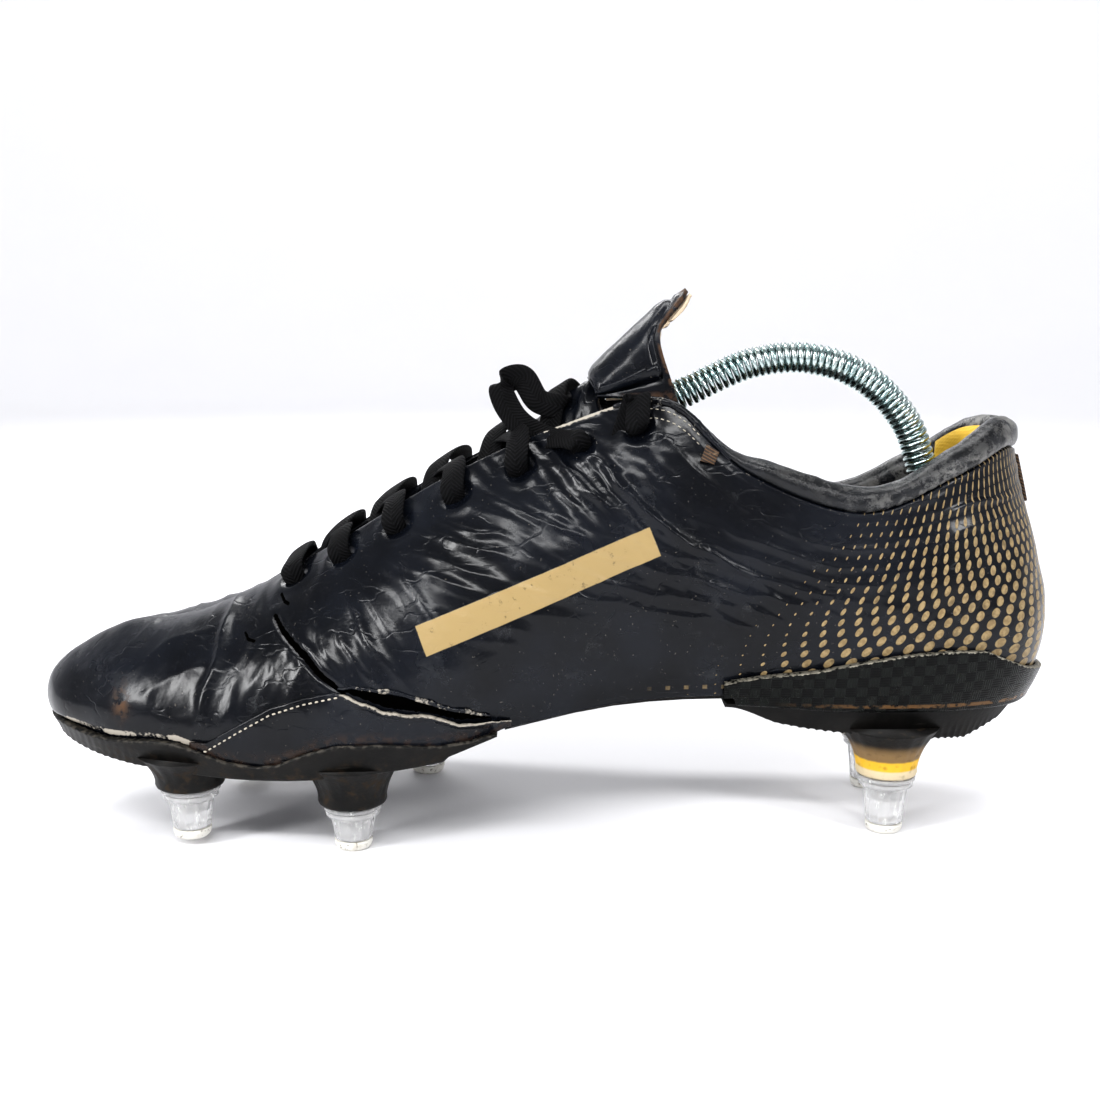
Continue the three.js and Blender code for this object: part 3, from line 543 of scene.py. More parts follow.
def coated(name, printed=False, bent=False):
    """Glossy black coated leather with grain, dust, scuffs, worn edges, painted shade in its splits and,
    unless it bends, hair creases.
    """
    net = Net(name, bent)
    blotch = net.noise(26, 3)
    grain = net.noise(0.9, 3, 3)
    pebble = net.noise(3.4, 2, 7)
    crease = net.noise(7.0, 2, 17, stretch=(0.7, 1, 1.3), rough=0.4)
    hair = net.step(0.035, 0.0, net.math("ABSOLUTE", crease - 0.5))
    hair = hair * net.step(0.45, 0.6, net.noise(11, 2, 19))
    colour = net.mix(net.step(0.35, 0.7, blotch), (0.0020, 0.0025, 0.0040), (0.0055, 0.0070, 0.0110))
    dust = net.step(0.56, 0.8, net.noise(9, 5, 11, rough=0.7)) * 0.16
    colour = net.mix(dust, colour, (0.10, 0.105, 0.11))
    speck = net.step(0.74, 0.78, net.noise(0.8, 1, 21)) * 0.3
    colour = net.mix(speck, colour, (0.22, 0.20, 0.17))
    grime = net.attribute("grime") * net.step(0.42, 0.60, net.noise(3, 4, 31, rough=0.65))
    colour = net.mix(grime * 0.85, colour, (0.085, 0.042, 0.018))
    roughness = 0.21 + net.step(0.4, 0.8, blotch) * 0.10 + dust * 0.8 + grime * 0.4 + hair * 0.06
    height = grain * 0.02 + pebble * 0.05 - hair * (0.0 if bent else 0.05)
    if printed:
        gold = dot_pattern(net)
        tone = net.step(0.35, 0.65, net.noise(1.1, 3, 71))
        tone = net.mix(tone, (0.30, 0.225, 0.115), (0.205, 0.145, 0.07))
        colour = net.mix(gold, colour, tone)
        roughness = roughness + gold * 0.2
        height = height + gold * 0.03
        band = straight_band(net)
        colour = net.mix(band, colour, (0.33, 0.24, 0.11))
        roughness = roughness + band * 0.12
        height = height + band * 0.05
    worn = net.attribute("worn")
    frayed = net.step(0.4, 0.7, worn + (net.noise(1.0, 3, 41) - 0.5) * 1.1)
    colour = net.mix(frayed, colour, (0.36, 0.33, 0.28))
    roughness = roughness + frayed * 0.45
    # Painted shade: the splits and the slit are painted near black and their reflection is taken out,
    # standing in for the shade inside them.
    crack = net.attribute("crack")
    split = net.step(0.45, 0.7, crack + (net.noise(0.9, 2, 51) - 0.5) * 0.4)
    colour = net.mix(split, colour, (0.0008, 0.0007, 0.0006))
    roughness = roughness + split * 0.5
    return net.finish(colour, roughness, height, Specular_IOR_Level=(1 - split) * 0.27)


def straight_band(net):
    """One plain straight band on the medial side."""
    x, z = net.x - BAND_X, net.z - BAND_Z
    cos_b, sin_b = math.cos(math.radians(BAND_ANGLE)), math.sin(math.radians(BAND_ANGLE))
    along = net.math("ABSOLUTE", x * cos_b + z * sin_b)
    across = net.math("ABSOLUTE", z * cos_b - x * sin_b)
    long = net.step(BAND_HALF_LENGTH, BAND_HALF_LENGTH - 0.3, along)
    band = net.step(BAND_HALF_WIDTH, BAND_HALF_WIDTH - 0.3, across) * long
    worn = net.step(0.27, 0.40, net.noise(3.2, 4, 61, rough=0.7)) * 0.6 + 0.4
    return band * net.step(-8, -12, net.y) * worn


def moulded(name, pads=False):
    """Satin black moulded plate with brown dirt low down. pads shades the heel bosses down to amber."""
    net = Net(name)
    fine = net.noise(0.7, 2, 3)
    patch = net.noise(9, 4, 13, rough=0.65)
    colour = net.mix(net.step(0.3, 0.7, patch), (0.0022, 0.0021, 0.0020), (0.0075, 0.0068, 0.0060))
    low = net.step(34, 22, net.z) * net.step(0.50, 0.68, net.noise(3.5, 5, 23, rough=0.7))
    colour = net.mix(low * 0.5, colour, (0.055, 0.036, 0.020))
    roughness = 0.36 + patch * 0.2 + low * 0.3
    if pads:
        boss = net.attribute("boss")
        grey = net.mix(net.step(29.5, 25, net.z), colour, (0.21, 0.135, 0.06))
        amber = net.mix(net.step(23.4, 22.6, net.z), grey, (0.70, 0.42, 0.035))
        foot = net.mix(net.step(20.4, 19.8, net.z), amber, (0.60, 0.50, 0.33))
        colour = net.mix(boss * net.step(29.5, 27, net.z), colour, foot)
        stain = net.step(0.55, 0.75, net.noise(2.4, 4, 33))
        colour = net.mix(boss * stain * 0.45, colour, (0.05, 0.034, 0.02))
    scratch = net.step(0.67, 0.72, net.noise(5, 3, 43, stretch=(0.25, 1, 2.5)))
    colour = net.mix(scratch * 0.25, colour, (0.08, 0.075, 0.065))
    worn = net.attribute("worn") * net.step(0.42, 0.62, net.noise(1.6, 3, 53))
    colour = net.mix(worn * 0.7, colour, (0.30, 0.27, 0.22))
    return net.finish(colour, roughness + worn * 0.3, fine * 0.06 + patch * 0.2, Specular_IOR_Level=0.2)


def woven_shell(name):
    """Woven composite: checks of two thread directions, a pale frayed top edge, dirt at the foot. The two
    directions of the same thread are painted darker and lighter, and the threads' crests lighter: painted
    sheen.
    """
    net = Net(name)
    girth, z = net.attribute("girth"), net.z
    a, b = girth / TOW, (z + girth * 0.04) / TOW
    check = net.math("FRACT", (net.math("FLOOR", a) + net.math("FLOOR", b)) * 0.5 + 100)
    check = net.step(0.2, 0.3, check)
    yarns = 4 * TURN
    lines = net.math("SINE", a * yarns) * check + net.math("SINE", b * yarns) * (1 - check)
    tow = net.math("SINE", a * TURN) * 0.5 + 0.5
    tone = net.noise(12, 3, 3)
    # Painted sheen: the checks of one thread in two directions get a dark and a light colour, and the thread
    # lines lighter crests; the noisy tone is the material's own.
    dark, light = (0.0010, 0.0012, 0.0012), (0.0062, 0.0075, 0.0066)
    colour = net.mix(check * 0.8 + lines * 0.12 + (tone - 0.5) * 0.5, dark, light)
    seam = net.step(0.8, 0.3, net.math("ABSOLUTE", z - COUNTER_FOOT)) * net.step(60, 98, net.x)
    dirt = seam * net.step(0.4, 0.55, net.noise(2.2, 4, 33))
    colour = net.mix(dirt * 0.8, colour, (0.14, 0.075, 0.03))
    worn = net.step(0.45, 0.7, net.attribute("worn") + (net.noise(1.1, 3, 13) - 0.5) * 1.3)
    colour = net.mix(worn, colour, (0.30, 0.28, 0.23))
    dust = net.step(0.55, 0.8, net.noise(7, 5, 23, rough=0.7)) * 0.14
    colour = net.mix(dust, colour, (0.10, 0.09, 0.07))
    height = lines * 0.03 + check * 0.06 + tow * 0.02
    roughness = 0.26 + dust + worn * 0.4
    return net.finish(colour, roughness, height, Specular_IOR_Level=0.15)


def suede(name, colour=(0.0035, 0.004, 0.005), pale=(0.30, 0.295, 0.28), shine=0.4):
    """Soft black lining leather, rubbed pale in patches where worn is high."""
    net = Net(name)
    nap = net.noise(0.7, 4, 3, rough=0.7)
    patch = net.noise(7, 4, 13, rough=0.7)
    base = net.mix(net.step(0.3, 0.7, patch), colour, tuple(c * 2.2 for c in colour))
    scuffs = net.step(0.46, 0.60, net.noise(5, 6, 23, rough=0.75))
    rubbed = net.math("MINIMUM", scuffs * net.attribute("worn") * 1.25, 1.0)
    base = net.mix(rubbed * 0.85, base, pale)
    fleck = net.step(0.62, 0.75, nap) * net.step(0.2, 0.7, net.attribute("worn"))
    base = net.mix(fleck * 0.25, base, tuple(c * 1.3 for c in pale))
    roughness = 0.24 + rubbed * 0.5
    return net.finish(base, roughness, nap * 0.12 + patch * 0.25, Specular_IOR_Level=shine)


def fabric(name, colour, bent=False, size=0.9, soiled=0.35):
    """Plain close cloth, lightly soiled."""
    net = Net(name, bent)
    weave = net.math("SINE", net.x * (TURN / size)) * net.math("SINE", (net.z + net.y) * (TURN / size))
    soil = net.step(0.4, 0.75, net.noise(6, 4, 3, rough=0.65)) * soiled
    base = net.mix(soil, colour, tuple(c * 0.45 for c in colour))
    fine = net.noise(0.8, 3, 9)
    base = net.mix(net.step(0.5, 0.8, fine) * 0.3, base, tuple(min(1, c * 1.3) for c in colour))
    return net.finish(base, 0.85, weave * 0.04 + fine * 0.12, Sheen_Weight=0.2)


def braid(name):
    """Flat lace: two bands of slanted yarns meeting along the middle. The yarns' crests are painted lighter
    and their grooves darker: painted highlight and shade.
    """
    net = Net(name)
    along, across = net.attribute("along"), net.attribute("across")
    slant = along - net.math("ABSOLUTE", across) * 0.9
    yarn = net.math("SINE", slant * (TURN / 1.15))
    fibre = net.math("SINE", (along + across * 2.2) * (TURN / 0.3))
    fuzz = net.noise(0.35, 2, 3)
    # Painted highlight and shade: the colour follows the yarns' relief, lighter on the crests and darker in
    # the grooves.
    high = net.step(-0.7, 0.8, yarn)
    colour = net.mix(high, (0.0008, 0.0008, 0.001), (0.005, 0.005, 0.006))
    lint = net.step(0.62, 0.85, net.noise(2.5, 4, 13, rough=0.7)) * 0.10
    colour = net.mix(lint, colour, (0.12, 0.115, 0.11))
    return net.finish(colour, 0.65, high * 0.2 + fibre * 0.02 + fuzz * 0.05, Specular_IOR_Level=0.12)


def plastic(name, colour, rough):
    """Moulded plastic, lightly soiled."""
    net = Net(name)
    tone = net.noise(8, 3, 3)
    base = net.mix(net.step(0.3, 0.7, tone), colour, tuple(c * 0.8 for c in colour))
    dirt = net.step(0.62, 0.78, net.noise(2.2, 5, 13, rough=0.7)) * 0.5
    base = net.mix(dirt, base, (0.2, 0.16, 0.11))
    return net.finish(base, rough + tone * 0.12, net.noise(1.1, 3, 23) * 0.05)


def stud_tip_plastic(name):
    """Worn white nylon with dirt ground in."""
    net = Net(name)
    tone = net.noise(3, 3, 3)
    colour = net.mix(tone, (0.80, 0.79, 0.74), (0.66, 0.64, 0.58))
    speck = net.step(0.60, 0.67, net.noise(0.9, 3, 13, rough=0.6))
    colour = net.mix(speck * 0.7, colour, (0.12, 0.09, 0.06))
    smear = net.step(0.5, 0.75, net.noise(4, 4, 23, rough=0.7)) * 0.5
    colour = net.mix(smear, colour, (0.42, 0.37, 0.30))
    return net.finish(colour, 0.42 + tone * 0.2, speck * -0.15 + net.noise(0.5, 2, 33) * 0.05)


def clear_plastic(name):
    """Clear moulded plastic with scuffs and a faint yellow cast."""
    net = Net(name)
    scuff = net.step(0.52, 0.75, net.noise(2.2, 5, 3, stretch=(1, 1, 0.35), rough=0.7))
    colour = net.mix(scuff * 0.35, (0.96, 0.96, 0.96), (0.70, 0.68, 0.63))
    rough = 0.09 + scuff * 0.35
    more = {"Transmission_Weight": 0.72 - scuff * 0.35, "IOR": 1.49}
    return net.finish(colour, rough, net.noise(0.8, 2, 13) * 0.06 + scuff * 0.04, **more)


def zinc(name):
    """Bright zinc plate with a teal cast and dull patches."""
    net = Net(name, bent=True)
    tone = net.noise(5, 3, 3)
    colour = net.mix(net.step(0.3, 0.7, tone), (0.56, 0.64, 0.63), (0.30, 0.42, 0.42))
    dull = net.step(0.5, 0.75, net.noise(1.3, 4, 13, rough=0.7))
    colour = net.mix(dull * 0.5, colour, (0.22, 0.23, 0.22))
    return net.finish(colour, 0.2 + dull * 0.3, net.noise(0.4, 2, 23) * 0.03, Metallic=1.0)


def threaded_steel(name):
    """Dull steel with a fine screw thread."""
    net = Net(name)
    tone = net.noise(2, 3, 3)
    colour = net.mix(net.step(0.4, 0.75, tone), (0.50, 0.50, 0.49), (0.20, 0.15, 0.11))
    thread = net.math("SINE", net.z * TURN)
    return net.finish(colour, 0.3 + tone * 0.3, thread * 0.22, Metallic=0.95)


def stitching(name):
    """Brown stitched tape: a close row of raised threads, painted lighter on their crests and darker between
    them as painted highlight and shade.
    """
    net = Net(name)
    row = net.math("SINE", (net.x * 0.55 + net.z) * (TURN / 0.9))
    # Painted highlight and shade: lighter brown on the threads' crests, darker brown between them.
    high = net.step(-0.5, 0.8, row)
    colour = net.mix(high, (0.018, 0.009, 0.005), (0.10, 0.052, 0.022))
    colour = net.mix(net.step(0.55, 0.8, net.noise(1.2, 4, 3)) * 0.5, colour, (0.30, 0.22, 0.14))
    return net.finish(colour, 0.7, high * 0.25 + net.noise(0.3, 2, 13) * 0.06)


MATERIALS = {
    "upper": coated("coated_upper_dotted", printed=True),
    "panel": coated("coated_panel"),
    "flap": coated("coated_flap", bent=True),
    "board": fabric("lining_board", (0.45, 0.38, 0.28)),
    "lining": suede("inner_lining", (0.008, 0.0085, 0.0095), (0.06, 0.06, 0.06), 0.1),
    "suede": suede("suede_collar"),
    "yellow": fabric("yellow_lining", (0.66, 0.42, 0.045), size=1.2),
    "stitch": stitching("brown_stitch"),
    "plate": moulded("black_plate"),
    "heel_plate": moulded("heel_plate_material", pads=True),
    "weave": woven_shell("carbon_weave"),
    "beige": fabric("beige_lining", (0.60, 0.48, 0.34), bent=True),
    "lace": braid("lace_weave"),
    "aglet": plastic("aglet_plastic", (0.02, 0.02, 0.02), 0.3),
    "tree": plastic("tree_plastic", (0.16, 0.17, 0.18), 0.4),
    "zinc": zinc("zinc_spring"),
    "steel": threaded_steel("thread_steel"),
    "clear": clear_plastic("clear_stud"),
    "tip": stud_tip_plastic("white_tip"),
    "thread": fabric("pale_thread", (0.46, 0.42, 0.34), size=0.5, soiled=0.8),
}


def dress(obj, material, body, slot_name, *nodes):
    """Gives a piece its material and its body, and hides the CAD nodes that it stands for. slot_name is not
    used.
    """
    obj.data.materials.append(MATERIALS[material])
    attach(obj, body)
    if nodes:
        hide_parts(*nodes)
    return obj


def dress_bent(obj, material, slot_name, moving, start, end, node):
    """Keeps the rest places of a piece, gives it its material, bakes its placement into its points and hides
    the CAD node that it stands for. slot_name, moving, start and end are not used.
    """
    keep_rest(obj)
    obj.data.materials.append(MATERIALS[material])
    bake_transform(obj)
    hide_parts(node)


def girth_table(side):
    """Distance round the wall from the back of the heel, for u from 0 to the toe."""
    u = np.linspace(0, TOE, 400)
    return u, run_length(wall(u, 0.4, side))


GIRTH = {side: girth_table(side) for side in (MEDIAL, LATERAL)}


def girth(u, side):
    return np.interp(u, *GIRTH[side])


# ---------- relief of the upper ----------

EYELETS = 7
FIRST_EYELET, LAST_EYELET = 8.5, 5.25
EYELET_HEIGHT = 0.885
LEATHER_CRACK = [(-75, 65.5), (-72, 62.4), (-69, 60), (-65, 57.2), (-61, 53), (-57, 50.2), (-54, 48)]
SMALL_CRACKS = [[(-74.5, 70), (-73, 68.8), (-71.6, 68.5)], [(-83, 61), (-81.8, 59.8), (-80.2, 59.5)]]


def eyelet_at(i):
    return FIRST_EYELET + (LAST_EYELET - FIRST_EYELET) * i / (EYELETS - 1)


EYELET_PLACES = [wall(eyelet_at(i), EYELET_HEIGHT, s) for i in range(EYELETS) for s in (MEDIAL, LATERAL)]

# Creased areas of the upper in side view: middle, half sizes and turn, then depth, angle, spacing and seed.
CREASED = [
    ((22, 98, 42, 18, -38), 1.7, -36, 6.2, 11),
    ((18, 100, 40, 15, -38), 0.25, -40, 3.0, 12),
    ((2, 104, 26, 11, -24), 1.2, -48, 4.6, 15),
    ((-10, 88, 34, 13, 28), 0.9, -18, 4.4, 21),
    ((34, 72, 46, 17, 8), 0.85, -16, 5.6, 27),
    ((24, 74, 40, 15, 8), 0.16, -22, 3.0, 28),
    ((92, 78, 30, 20, 0), 0.4, 12, 8.5, 31),
    ((118, 97, 26, 8, 8), 1.3, 8, 6.0, 33),
    ((-82, 54, 22, 18, 0), 1.3, 74, 7.4, 37),
    ((-84, 58, 22, 15, 0), 0.2, 66, 3.2, 38),
    ((-48, 66, 20, 15, 20), 1.1, -50, 5.6, 43),
    ((-46, 68, 20, 14, 20), 0.18, -56, 3.0, 44),
    ((-104, 62, 28, 13, 0), 0.55, 28, 8.5, 47),
    ((-108, 60, 22, 9, 0), 0.14, 50, 3.2, 48),
]


def creases(x, z, seed):
    """Relief in millimetres of one side of the upper, in side view."""
    total = 0.5 * fractal(x / 17, z / 17, 3 + seed)
    total += 0.12 * fractal(x / 5.5, z / 5.5, 8 + seed)
    for area, deep, angle, spacing, number in CREASED:
        total += deep * blob(x, z, *area) * (folds(x, z, angle, spacing, number + seed) - 0.35)
    return total


TOE_BULGE = 2.0
SMOOTH_BELOW = [(-150, 36), (-95, 30), (-60, 29), (0, 35), (60, 42), (150, 41)]


def relief(points):
    """How far the upper stands off the last: creases, eyelets, the crack's lips and the toe's bulge."""
    x, y, z = points[..., 0], points[..., 1], points[..., 2]
    medial = smooth(7, -9, y + 3)
    total = creases(x, z, 0) * medial + creases(x, z, 100) * (1 - medial)
    total = total * smooth(0, 7, z - line_height(SMOOTH_BELOW, x))
    for place in EYELET_PLACES:
        d2 = ((points - place) ** 2).sum(-1)
        total = total - 1.3 * np.exp(-d2 / 3.0**2) + 0.45 * np.exp(-((np.sqrt(d2) - 5.2) ** 2) / 3.2)
    side = (y < 0) * 1.0
    d, t = line_distance(x, z, LEATHER_CRACK)
    deep = side * np.sin(np.pi * np.clip(t * 0.94 + 0.03, 0, 1)) ** 0.5
    total = total - 0.9 * deep * np.exp(-((d / 0.7) ** 2)) + 0.55 * deep * np.exp(-(((d - 1.7) / 1.1) ** 2))
    return total + TOE_BULGE * smooth(-126, -140, x) * smooth(33, 36, z) * smooth(58, 42, z)


def crack_mask(points):
    """1 in the splits of the medial side's leather and in the slit above its torn seam, the places that the
    coated leather paints with shade: near black and without reflection.
    """
    x, y, z = points[..., 0], points[..., 1], points[..., 2]
    d, t = line_distance(x, z, LEATHER_CRACK)
    mask = smooth(0.9, 0.3, d - 0.35 * np.sin(math.pi * t))
    for line in SMALL_CRACKS:
        d, t = line_distance(x, z, line)
        mask = np.maximum(mask, smooth(0.7, 0.2, d))
    slit = smooth(0.2, 0.7, z - line_height(TORN_EDGE, x)) * smooth(0.1, 0.5, line_height(PANEL_SEAM, x) - z)
    mask = np.maximum(mask, slit * smooth(-57, -54, x) * smooth(-8, -12, x))
    return mask * (y < 0)


# ---------- upper ----------


def build_upper():
    per_station = 34 if FINE else 18
    rows = 112 if FINE else 56
    u = np.linspace(0, TOE, TOE * per_station + 1)
    v = np.linspace(0, 1, rows)
    inner_v = np.linspace(0, 1, 14)
    points, faces, marks = [], [], []
    count = 0

    def put(block, side):
        """Adds a grid of points with one row for each u, and gives the number of its first point."""
        nonlocal count
        start = count
        points.append(block.reshape(-1, 3))
        marks.append(np.repeat(girth(u, side), block.shape[1]))
        count += len(points[-1])
        return start

    outer, inner = {}, {}
    for side in (MEDIAL, LATERAL):
        uu, vv = np.meshgrid(u, v, indexing="ij")
        skin_points = wall(uu, vv, side)
        normals = wall_normal(uu, vv, side)
        bump = relief(skin_points)
        edge = np.where(uu >= THROAT_END, 1, smooth(1.0, 0.985, vv))
        skin_points = skin_points + normals * (bump * (0.35 + 0.65 * edge))[..., None]
        outer[side] = put(skin_points, side)
        faces += grid_faces(len(u), rows, outer[side], flip=side == LATERAL)
        uu, vv = np.meshgrid(u, inner_v, indexing="ij")
        inside = skin(uu, vv, side, -WALL * np.ones(uu.shape))
        inside[:, 0, 2] += WALL
        inner[side] = put(inside, side)
    outer_faces = len(faces)
    open_columns = int(round(THROAT_END * per_station))
    lip = {}
    for side in (MEDIAL, LATERAL):
        faces += grid_faces(len(u), len(inner_v), inner[side], flip=side == MEDIAL)
        top, low = wall(u, 1.0, side), skin(u, 1.0 + 0 * u, side, -WALL + 0 * u)
        middle = (top + low) / 2 + np.array([0, 0, 0.8])
        lip[side] = put(middle[:, None, :], side)
        for i in range(open_columns):
            a = [outer[side] + (i + k) * rows + rows - 1 for k in (0, 1)]
            b = [lip[side] + i + k for k in (0, 1)]
            c = [inner[side] + (i + k) * len(inner_v) + len(inner_v) - 1 for k in (0, 1)]
            for low_edge, high_edge in ((a, b), (b, c)):
                face = (low_edge[0], high_edge[0], high_edge[1], low_edge[1])
                faces.append(tuple(reversed(face)) if side == LATERAL else face)
    for i in range(len(u) - 1):
        m, l = outer[MEDIAL] + i * rows, outer[LATERAL] + i * rows
        faces.append((l, l + rows, m + rows, m))
        n = len(inner_v)
        m, l = inner[MEDIAL] + i * n, inner[LATERAL] + i * n
        faces.append((m, m + n, l + n, l))
    points = np.concatenate(points)
    obj = make_mesh("upper_skin", points, faces)
    x, z = points[:, 0], points[:, 2]
    throat = np.zeros(len(points))
    frayed = smooth(6.3, 5.9, u) * smooth(5.0, 5.25, u)
    for side in (MEDIAL, LATERAL):
        amount = frayed * (0.62 if side == MEDIAL else 0.5) + (u < THROAT_END) * 0.35
        block = amount[:, None] * smooth(0.985, 1.0, v)[None, :]
        throat[outer[side] : outer[side] + len(u) * rows] = block.ravel()
        throat[lip[side] : lip[side] + len(u)] = frayed * 0.5
    rim_line = line_height(RIM_TOP, x)
    broken = 0.48 + 0.45 * smooth(-0.3, 0.5, noise(x / 5.0, z * 0, 91))
    glue = smooth(1.4, 0.3, np.abs(z - rim_line - 0.9)) * smooth(-88, -97, x) * smooth(-142, -132, x) * broken
    grime = 1.2 * blob(x, z, -117, 42.5, 1.9, 3.6) + 0.3 * smooth(46, 40, z) * smooth(40, 90, x)
    worn, grime = np.maximum(throat, glue), np.clip(grime, 0, 1)
    # The splits' value is painted shade, not a colour of the leather.
    add_wear_and_shade(obj, worn=worn, crack=crack_mask(points), grime=grime, girth=np.concatenate(marks))
    dress(obj, "upper", "root", "coated_upper", "upper")
    obj.data.materials.append(MATERIALS["lining"])
    lined = np.zeros(len(points), bool)
    for start in inner.values():
        lined[start : start + len(u) * len(inner_v)] = True
    index = np.zeros(len(faces), np.int32)
    for k in range(outer_faces, len(faces)):
        index[k] = lined[list(faces[k])].all()
    obj.data.polygons.foreach_set("material_index", index)
    weld(obj, 0.004)


def weld(obj, distance):
    """Joins points closer than distance, in millimetres."""
    bm = bmesh.new()
    bm.from_mesh(obj.data)
    bmesh.ops.remove_doubles(bm, verts=bm.verts, dist=distance * MM)
    bmesh.ops.dissolve_degenerate(bm, edges=bm.edges, dist=1e-7)
    bm.to_mesh(obj.data)
    bm.free()


# ---------- side panels with their torn seam ----------

RIM_TOP = [
    (-150, 34.8), (-140, 34.4), (-129, 33.6), (-121, 33), (-107, 33.6), (-101, 33.3),
    (-94.5, 31.6), (-87, 28.8), (-79, 27.6), (-73, 28.2), (-66, 31.4), (-57, 34.2),
    (-43, 34.4), (-30, 33), (-21, 33.8), (-12, 36), (-5, 38.6),
]
PANEL_SEAM = [
    (-92, 33.5), (-83, 39), (-74, 44), (-65, 47), (-52, 50), (-38, 48), (-25, 43), (-14, 40), (-5, 39.2),
]
TORN_EDGE = [
    (-92, 33.5), (-83, 39), (-74, 44), (-65, 47), (-57, 48.6), (-54, 48.2), (-51, 47), (-43, 44), (-31, 42),
    (-24, 39.5), (-16, 39), (-6, 39),
]


def on_wall_line(u, line, side, lift=0.0):
    """Heights at which a side-view line, moved up by lift, crosses each u of the wall."""
    z = line_height(line, wall(u, 0.25, side)[..., 0])
    for _ in range(8):
        p = at_height(u, z + lift, side, 0.0)
        z = z + (line_height(line, p[..., 0]) - z) * 0.8
    return z + lift


def build_panel(side):
    name = "side_panel_medial" if side == MEDIAL else "side_panel_lateral"
    columns, rows = (150, 26) if FINE else (80, 14)
    u = np.linspace(6.0, 9.05, columns)
    top = on_wall_line(u, TORN_EDGE if side == MEDIAL else PANEL_SEAM, side)
    tail = smooth(-26, -9, wall(u, 0.2, side)[:, 0])
    low = on_wall_line(u, RIM_TOP, side) - 3.0 * (1 - tail)
    top = np.maximum(top, low + 0.3)
    x_top = at_height(u, top, side, 0.0)[:, 0]
    torn = smooth(-58, -53, x_top) * smooth(-3, -8, x_top) * (side == MEDIAL)
    ragged = torn * 0.45 * fractal(x_top / 1.7, x_top * 0, 77)
    share = np.linspace(0, 1, rows) ** 0.8
    z = low[:, None] + (top + ragged - low)[:, None] * share[None, :]
    uu = np.repeat(u[:, None], rows, 1)
    bare = at_height(uu, z, side, 0.0)
    normals = wall_normal(uu, np.full(uu.shape, 0.15), side)
    bump = relief(bare) * 0.9
    drop = top[:, None] - z
    waves = 0.5 * np.sin(x_top[:, None] / 4.0) * np.exp(-((drop / 4) ** 2))
    curl = torn[:, None] * (1.5 * np.exp(-((drop / 1.6) ** 2)) + waves)
    thick = (1.1 + curl) * (1 - 0.7 * tail[:, None])
    face = bare + normals * (thick + bump)[..., None]
    back = bare + normals * ((curl + bump) * 0.9 - 0.3)[..., None]
    obj = rings_mesh(name + "_skin", np.concatenate([face, back[:, ::-1]], axis=1), flip=side == LATERAL)
    z_all = np.concatenate([z, z[:, ::-1]], 1)
    worn = smooth(0.9, 0.2, top[:, None] + ragged[:, None] - z_all) * (0.2 + 0.5 * torn)[:, None]
    points = last_points(obj)
    grime = smooth(4, 1, points[:, 2] - line_height(RIM_TOP, points[:, 0])) * 0.25
    add_wear_and_shade(obj, worn=worn, grime=grime)
    dress(obj, "panel", "root", "coated_upper", name)


def bead(name, path, across, up, wide, tall, worn, sides=10):
    """A flattened roll of leather along a path. across, up and worn hold a value for each of its points."""
    angles = circle(sides)
    sideways = across[:, None, :] * (np.cos(angles)[None, :] * wide[:, None])[..., None]
    upwards = up[:, None, :] * (np.sin(angles)[None, :] * tall[:, None])[..., None]
    obj = rings_mesh(name, path[:, None, :] + sideways + upwards)
    add_wear_and_shade(obj, worn=np.repeat(worn, sides))
    dress(obj, "panel", "root", "coated_upper")


def build_torn_lip():
    """The ragged edge of the upper that the torn seam has left."""
    u = np.linspace(6.2, 8.0, 160)
    z = on_wall_line(u, PANEL_SEAM, MEDIAL)
    p = at_height(u, z, MEDIAL, 0.0)
    keep = (p[:, 0] > -56) & (p[:, 0] < -5)
    u, z, p = u[keep], z[keep], p[keep]
    wave = fractal(p[:, 0] / 3.1, p[:, 0] * 0, 83)
    p = at_height(u, z + 0.5 * wave, MEDIAL, 0.0)
    normal = wall_normal(u, 0 * u + 0.2, MEDIAL)
    across = np.cross(unit(np.gradient(p, axis=0)), normal)
    ends = np.sin(np.pi * np.linspace(0.02, 0.98, len(u))) ** 0.35
    path = p + normal * (0.3 + 0.25 * wave + relief(p) * 0.9)[:, None]
    wide, tall = (0.6 + 0.25 * wave) * ends + 0.05, (0.42 + 0.2 * wave) * ends + 0.05
    pale = 0.22 + 0.32 * smooth(-0.3, 0.4, fractal(p[:, 0] / 2.3, p[:, 0] * 0, 87))
    bead("torn_lip", path, across, normal, wide, tall, pale)


STITCH = 1.0
STITCH_PROFILE = [(-1, 0.15), (-0.85, 0.75), (-0.4, 1), (0.4, 1), (0.85, 0.75), (1, 0.15)]


def stitches(name, places, directions, radius):
    """Short stitches at places, lying along directions."""
    sides, rows = 7, len(STITCH_PROFILE)
    points, faces = [], []
    for place, direction in zip(places, directions):
        d = direction / np.linalg.norm(direction)
        side = unit(np.cross(d, [0.3, 0.2, 0.93]))
        up = np.cross(d, side)
        start = len(points)
        for t, r in STITCH_PROFILE:
            for a in circle(sides):
                out = (side * math.cos(a) + up * math.sin(a)) * radius * r
                points.append(place + d * t * STITCH / 2 + out)
        faces += grid_faces(rows, sides, start, close_cols=True)
        faces.append(tuple(range(start, start + sides)))
        faces.append(tuple(reversed(range(start + (rows - 1) * sides, start + rows * sides))))
    dress(make_mesh(name, np.array(points), faces), "thread", "root", "coated_upper")


def evenly_along(path, first, last, pitch, ahead):
    """Places every pitch along a path, and the way to the point a little ahead of each."""
    at = np.arange(first, run_length(path)[-1] - last, pitch)
    places = points_along(path, at)
    return places, points_along(path, at + ahead) - places


